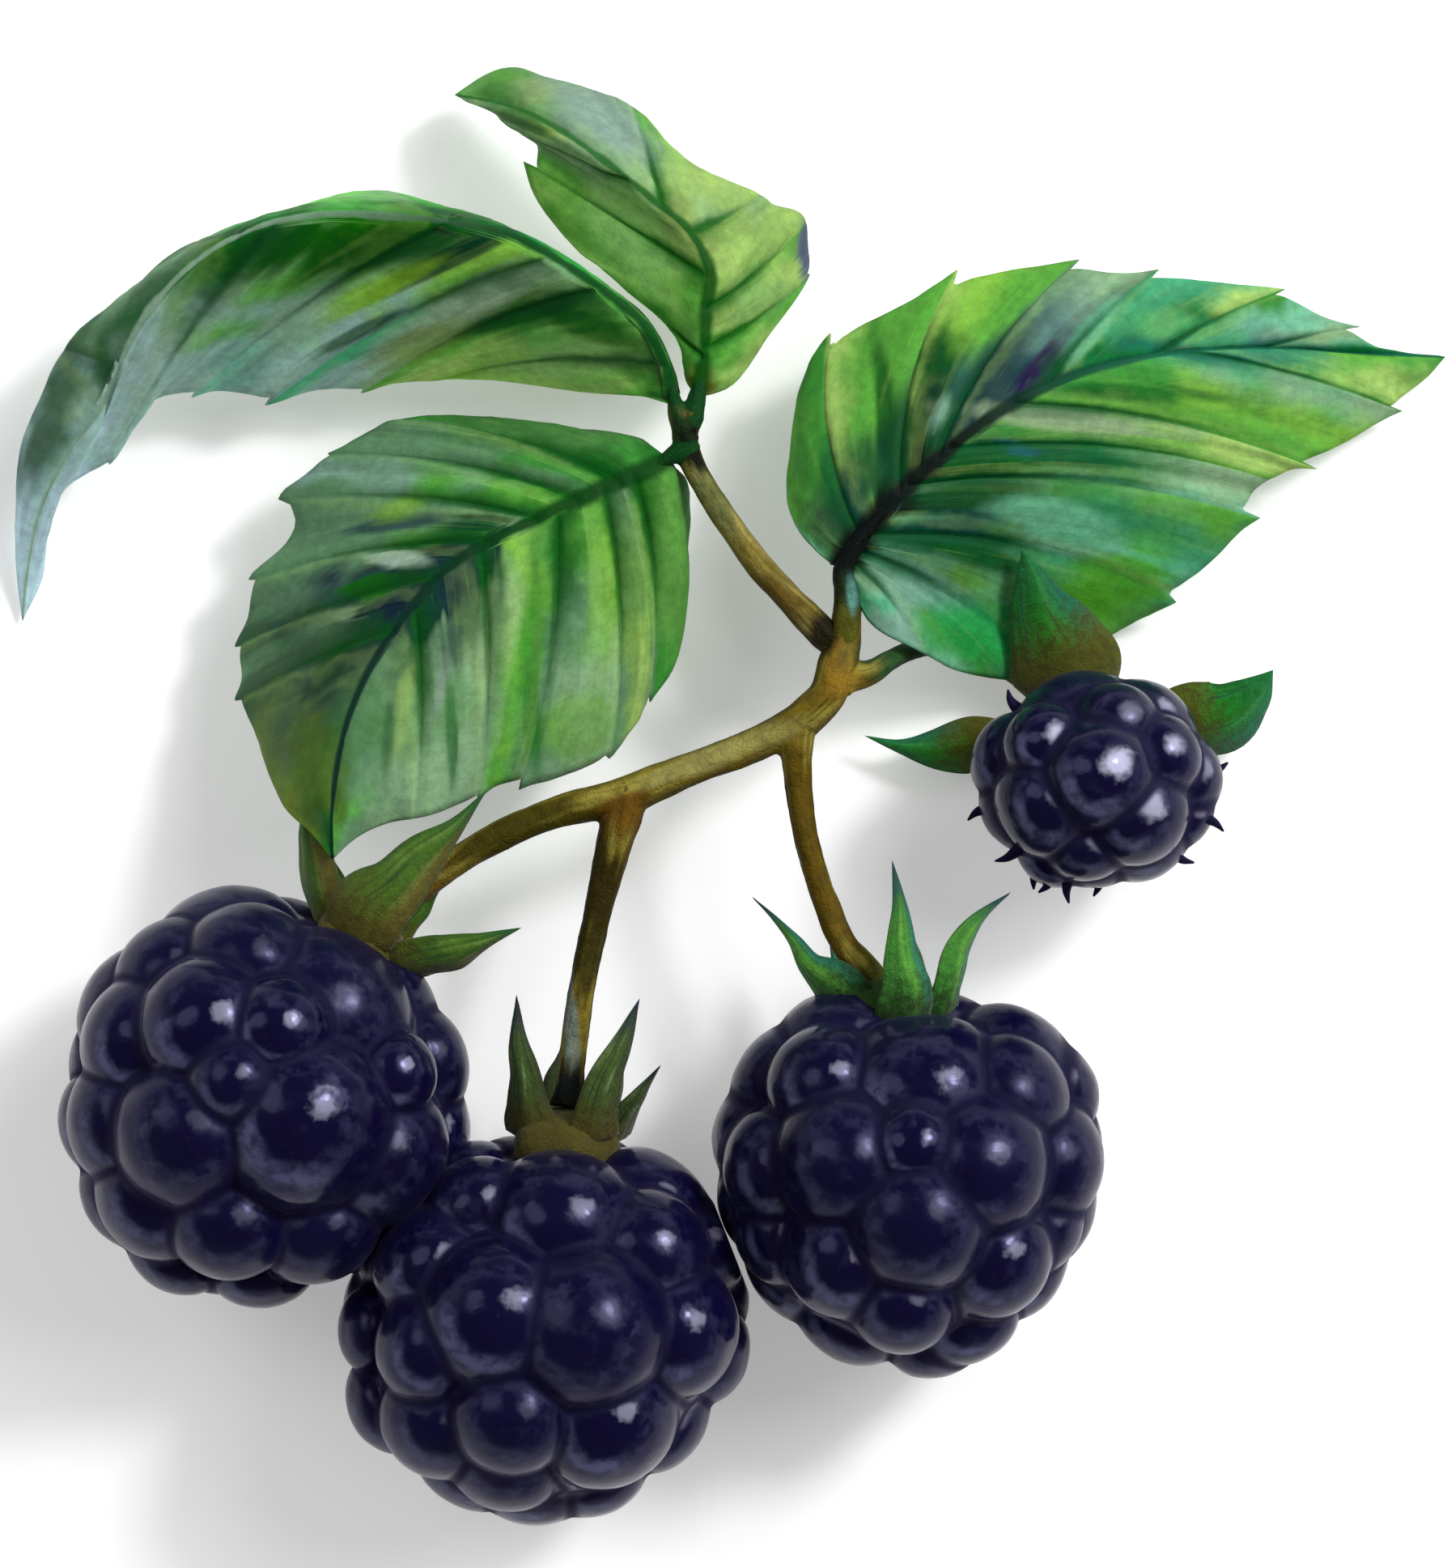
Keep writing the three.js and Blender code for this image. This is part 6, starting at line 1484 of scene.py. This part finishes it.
def leaf_material(name, colours):
    material, tree, shader = new_material(name, PALETTE["g"])
    place = object_place(tree)
    widths = {"Vein width": colours["vein_width"], "Midrib width": colours["midrib_width"]}
    veins = use(tree, "blade", {**widths, "Seed": colours["seed"]})
    mottle = use(tree, "mottle", {"Place": place, "Scale": 1400.0})
    streaks, fibres = veins["Streaks"], veins["Fibres"]
    # Each leaf's whole colour is brightened or darkened by its gain: a painted light level that evens out how
    # much light the leaf catches at its tilt.
    gain = colours["gain"]
    colour = washed(tree, attribute(tree, "tint", "Vector"), place, streaks, colours["washes"])
    colour = shaded(colour, ramp(streaks, 0.3, 0.7, 0.86 * gain, 1.14 * gain))
    towards_tip = ramp(attribute(tree, "along"), 0.22, 0.6)
    colour = layered(
        colour,
        (ramp(fibres, 0.56, 0.74) * 0.12, PALETTE["Y"]),
        (ramp(fibres, 0.44, 0.28) * 0.14, colours["vein"]),
        # Painted light: the pale band on each side vein's tip side.
        (veins["Beside"] * 0.16, PALETTE["Y"]),
        (veins["Net"] * 0.07, colours["vein"]),
        (veins["Shadow"] * 0.72, colours["vein"]),
        (veins["Vein"] * colours["vein_strength"], colours["vein"]),
        (veins["Midrib"] * 0.95, blend(towards_tip, colours["midrib"], colours["midrib_tip"])),
    )
    colour = shaded(colour, ramp(mottle["Mask"], 0.0, 1.0, 0.9, 1.1))
    colour = blend(attribute(tree, "underside"), colour, blend(0.2, colour, (130, 160, 110)))
    height = mottle["Height"] * 0.5 + streaks - veins["Net"] * 0.35
    dress(shader, height, 0.25, 0.00007, {
        "Base Color": enriched(colour, 1.02),
        "Roughness": ramp(mottle["Mask"], 0.0, 1.0, 0.56, 0.7),
        "Specular IOR Level": 0.1,
    })
    return material


def bark_material(name, colours):
    """A stem's skin. A stalk that runs on into a midrib turns to its colour between two places along it."""
    material, tree, shader = new_material(name, colours["middle"])
    place = object_place(tree)
    around = attribute(tree, "around")
    run = attribute(tree, "run")
    lie = {"Across": around, "Along": run * 0.16}
    streaks = use(tree, "streaks", {**lie, "Count": 3.2, "Seed": colours["seed"]})
    mottle = use(tree, "mottle", {"Place": place, "Scale": 1100.0})
    colour = layered(
        colours["middle"],
        (ramp(streaks["Broad"], 0.45, 0.66) * 0.75, colours["pale"]),
        (ramp(streaks["Fine"], 0.5, 0.3) * 0.55, colours["dark"]),
    )
    colour = washed(tree, colour, place, streaks["Broad"], colours["washes"])
    colour = shaded(colour, ramp(mottle["Mask"], 0.0, 1.0, 0.78, 1.15))
    # Painted shade: the skin darkens along both flanks of a stem, between its top and its underside.
    edge = maths("ABSOLUTE", maths("ABSOLUTE", around) - 0.5)
    colour = blend(ramp(edge, 0.22, 0.48) * 0.6, colour, colours["dark"])
    if "midrib" in colours:
        colour = blend(ramp(run, *colours["midrib_from"]), colour, colours["midrib"])
    dress(shader, streaks["Fine"] * 1.4 + mottle["Height"], 0.5, 0.0001, {
        "Base Color": colour,
        "Roughness": ramp(mottle["Mask"], 0.0, 1.0, 0.5, 0.7),
        "Specular IOR Level": 0.08,
    })
    return material


def sepal_material(name, colours):
    """A sepal's skin: a body with pale and dark streaks, a band down one side, a base and a tip."""
    material, tree, shader = new_material(name, colours["body"])
    along = attribute(tree, "along")
    across = attribute(tree, "across")
    lie = {"Across": across, "Along": along * 1.4}
    streaks = use(tree, "streaks", {**lie, "Count": 1.7, "Seed": colours["seed"]})
    mottle = use(tree, "mottle", {"Place": object_place(tree), "Scale": 1700.0})
    ragged_along = along + (mottle["Mask"] - 0.5) * 0.12
    colour = layered(
        colours["body"],
        (ramp(streaks["Broad"], 0.5, 0.68) * 0.8, colours["pale"]),
        (ramp(streaks["Fine"], 0.48, 0.28) * 0.7, colours["dark"]),
        (ramp(across, *colours["band_at"]) * 0.8, colours["band"]),
        (ramp(attribute(tree, "rib"), 0.78, 1.0) * 0.5, colours["dark"]),
        (ramp(ragged_along, *colours["base_at"]), colours["base"]),
        (ramp(ragged_along, 0.6, 0.98) * 0.9, colours["tip"]),
    )
    colour = shaded(colour, ramp(mottle["Mask"], 0.0, 1.0, 0.8, 1.15))
    dress(shader, streaks["Fine"] + mottle["Height"], 0.5, 0.0001, {
        "Base Color": enriched(colour, 1.04),
        "Roughness": ramp(mottle["Mask"], 0.0, 1.0, 0.6, 0.8),
        "Specular IOR Level": 0.2,
        "Sheen Weight": 0.15,
    })
    return material


def fruit_material(name, colours):
    """The skin of the drupelets: blue-black and glossy, with a pale waxy film rubbed off in places, painted
    reflections on their lower-left rims, a painted highlight and painted shade in the grooves.
    """
    material, tree, shader = new_material(name, colours["skin"])
    place = object_place(tree)
    parts = separated(attribute(tree, "from_middle", "Vector"))
    x, y = parts["X"], parts["Y"]
    tone = attribute(tree, "tone")
    groove = attribute(tree, "groove")
    clouds = grain(place, 330.0, 3.0, 0.6, 0.5)
    brush = grain(place, 1100.0, 2.0, 0.55, 0.2)
    clear = ramp(groove, 0.12, 0.5)
    from_axis = maths("SQRT", x * x + y * y)
    # Painted reflections: a pale crescent inside each drupelet's lower-left rim, as if a bright low light
    # there were mirrored.
    low_side = (y * -0.78 - x * 0.62) / (from_axis + 0.01)
    ring = (clouds - 0.5) * 0.3 + from_axis
    arc = ramp(ring, 0.44, 0.62) * ramp(ring, 0.66, 0.82, 1.0, 0.1)
    crescent = arc * ramp(low_side, 0.1, 0.8) * ramp(brush, 0.3, 0.6, 0.35, 1.0)
    crescent = crescent * ramp(tone, 0.15, 0.8, 0.15, 1.0) * clear
    # Painted highlight: a pale spot up and to the right on each drupelet, where the lamps' highlight falls.
    spot_x = x - 0.3
    spot_y = y - 0.23
    from_spot = (brush - 0.5) * 0.4 + maths("SQRT", spot_x * spot_x + spot_y * spot_y)
    spot = ramp(from_spot, colours["spot"] * 0.3, colours["spot"], 1.0, 0.0)
    spot = spot * ramp(tone, 0.2, 0.8, 0.2, 1.0) * ramp(parts["Z"], 0.1, 0.4) * clear
    colour = layered(
        colours["skin"],
        (ramp(clouds, 0.35, 0.65), colours["deep"]),
        (crescent * 0.75, colours["bloom_and_rim_light"]),
        (spot * colours["spot_strength"], (206, 204, 232)),
        # Painted rim sheen: a faint, broken pale ring round the rim of each drupelet.
        (arc * ramp(brush, 0.4, 0.65) * 0.12, colours["bloom_and_rim_light"]),
        (ramp(clouds, 0.5, 0.75) * ramp(brush, 0.3, 0.7) * 0.14, colours["bloom_and_rim_light"]),
        # Painted shade: the skin darkens into the grooves between the drupelets.
        (ramp(groove, 0.1, 0.7, 1.0, 0.0) * 0.7, colours["deep"]),
    )
    dull = brush * 0.16 + ramp(tone, 0.1, 0.9, 0.1, 0.0) + ramp(groove, 0.1, 0.8, 0.5, 0.0)
    dress(shader, brush * 0.5 + clouds, 0.3, 0.00014, {
        "Base Color": colour,
        "Roughness": dull + colours["smooth"],
        "Specular IOR Level": colours["gloss"],
        "Specular Tint": (204, 200, 255),
        "Sheen Weight": 0.05,
        "Sheen Roughness": 0.4,
        "Sheen Tint": (170, 168, 230),
    })
    return material


# --- the sprig ----------------------------------------------------------------------------------------------

bark = bark_material("bark", BARK)
stalk_skin = bark_material("stalk skin", STALK)
leaf_end = bark_material("leaf end", LEAF_END)
fruit_skin = fruit_material("fruit skin", FRUIT)
small_fruit_skin = fruit_material("small fruit skin", SMALL_FRUIT)
sepal_skins = {name: sepal_material(f"sepal {name}", colours) for name, colours in SEPALS.items()}

stem = grown("stem_bark", [MAIN_STEM, STALK_MIDDLE, STALK_RIGHT, STALK_SMALL], 0.16, 0.1)
finish_piece(stem, bark, "bark", "stem")
LEAF_STALKS = [LEAF_STALK, LEFT_LEAFLET_STALK, TOP_LEAFLET_STALK, LOWER_LEAFLET_STALK]
finish_piece(grown("leaf_stalk_skin", LEAF_STALKS, 0.12, 0.1), stalk_skin, "leaf_stalk", "leaf_stalk")
right_stalk = grown("leaf_right_stalk_skin", [RIGHT_LEAF_STALK], 0.1, 0.08)
finish_piece(right_stalk, leaf_end, "leaf_stalk", "leaf_right_stalk")

for name, leaf in LEAVES.items():
    blade = leaf_blade(name + "_blade", leaf, LEAF_COLOURS[name])
    finish_piece(blade, leaf_material(name.replace("_", " "), LEAF_COLOURS[name]), "leaf", name)

# A calyx cup's outline from the fruit to the stalk: share of its radius, and height over the hub.
CUP_PROFILE = [
    (0, -1.9), (0.7, -1.7), (0.98, -0.9), (1.0, 0.0), (0.94, 0.8), (0.78, 1.5), (0.5, 2.1), (0, 2.3),
]

tree = drupelet_tree(fruit_skin)
dice = np.random.default_rng(7)
for name, berry in BERRIES.items():
    hub = np.array(berry["hub"])
    axis = unit(hub - np.array(berry["centre"]))
    fruit = berry_fruit(name, berry, axis, tree, dice)
    finish_piece(fruit, small_fruit_skin if name == "small" else fruit_skin, "drupelet", f"berry_{name}")

    profile = [(berry["cup"] * share, height) for share, height in CUP_PROFILE]
    cup = turned(f"calyx_{name}_cup", profile, hub - axis * 0.7 - UP * 0.3, axis, 0.05)
    for key in ("along", "across", "rib"):
        give(cup, key, np.zeros(len(cup.data.vertices)))
    finish_piece(cup, sepal_skins[name], "sepal", f"calyx_{name}")
    for k, points in enumerate(berry["sepals"], 1):
        blade = sepal_blade(f"sepal_{name}_{k}_blade", points, hub, axis, k + len(name))
        finish_piece(blade, sepal_skins[name], "sepal", f"sepal_{name}_{k}")

# --- surface, light and camera ------------------------------------------------------------------------------

scene = bpy.context.scene
scene.view_settings.view_transform = "Standard"

floor = placed("floor", bpy.data.meshes.new("floor"))
floor.data.from_pydata([(-3, -3, 0), (3, -3, 0), (3, 3, 0), (-3, 3, 0)], [], [(0, 1, 2, 3)])
paper, _, paper_shader = new_material("pale floor", (243, 243, 243))
paper_looks = {
    "Base Color": (0.9, 0.9, 0.9, 1),
    "Roughness": 0.9,
    "Specular IOR Level": 0.0,
    "Emission Color": (1, 1, 1, 1),
    "Emission Strength": 0.3,
}
for label, value in paper_looks.items():
    paper_shader[label].default_value = value
floor.data.materials.append(paper)

world = bpy.data.worlds.new("studio")
scene.world = world
world.use_nodes = True
sky = world.node_tree
sky.nodes.clear()
way = put(sky, "ShaderNodeTexCoord", output="Generated")
low = ramp(separated(way)["Z"], 0.02, 0.42, 1.0, 0.0)
side = ramp(vector_maths("DOT_PRODUCT", way, (-0.66, -0.75, 0.0), "Value"), -0.2, 0.9, 0.35, 1.0)
background = put(sky, "ShaderNodeBackground", {"Color": (255, 255, 255), "Strength": low * side * 0.9 + 0.2})
node(sky, "ShaderNodeOutputWorld", {0: background})


def soft_light(name, place, size, power):
    """A round lamp that looks at the sprig."""
    data = bpy.data.lights.new(name, "AREA")
    data.shape = "DISK"
    data.size = size
    data.energy = power
    lamp = placed(name, data)
    lamp.location = place
    lamp.rotation_euler = (Vector((0, 0, 0.01)) - Vector(place)).to_track_quat("-Z", "Y").to_euler()


soft_light("key light", (0.72, 0.5, 0.84), 0.85, 7.8)
soft_light("bright light", (0.7, 0.52, 0.86), 0.22, 7.2)
soft_light("fill light", (-0.7, 0.45, 0.9), 0.7, 3.2)

camera = placed("camera", bpy.data.cameras.new("camera"))
camera.data.lens = 200
camera.data.sensor_width = 36
camera.data.clip_start = 0.01
camera.data.clip_end = 20
camera.location = (-0.45 * MM, 0.45 * MM, 550 * MM)
scene.camera = camera
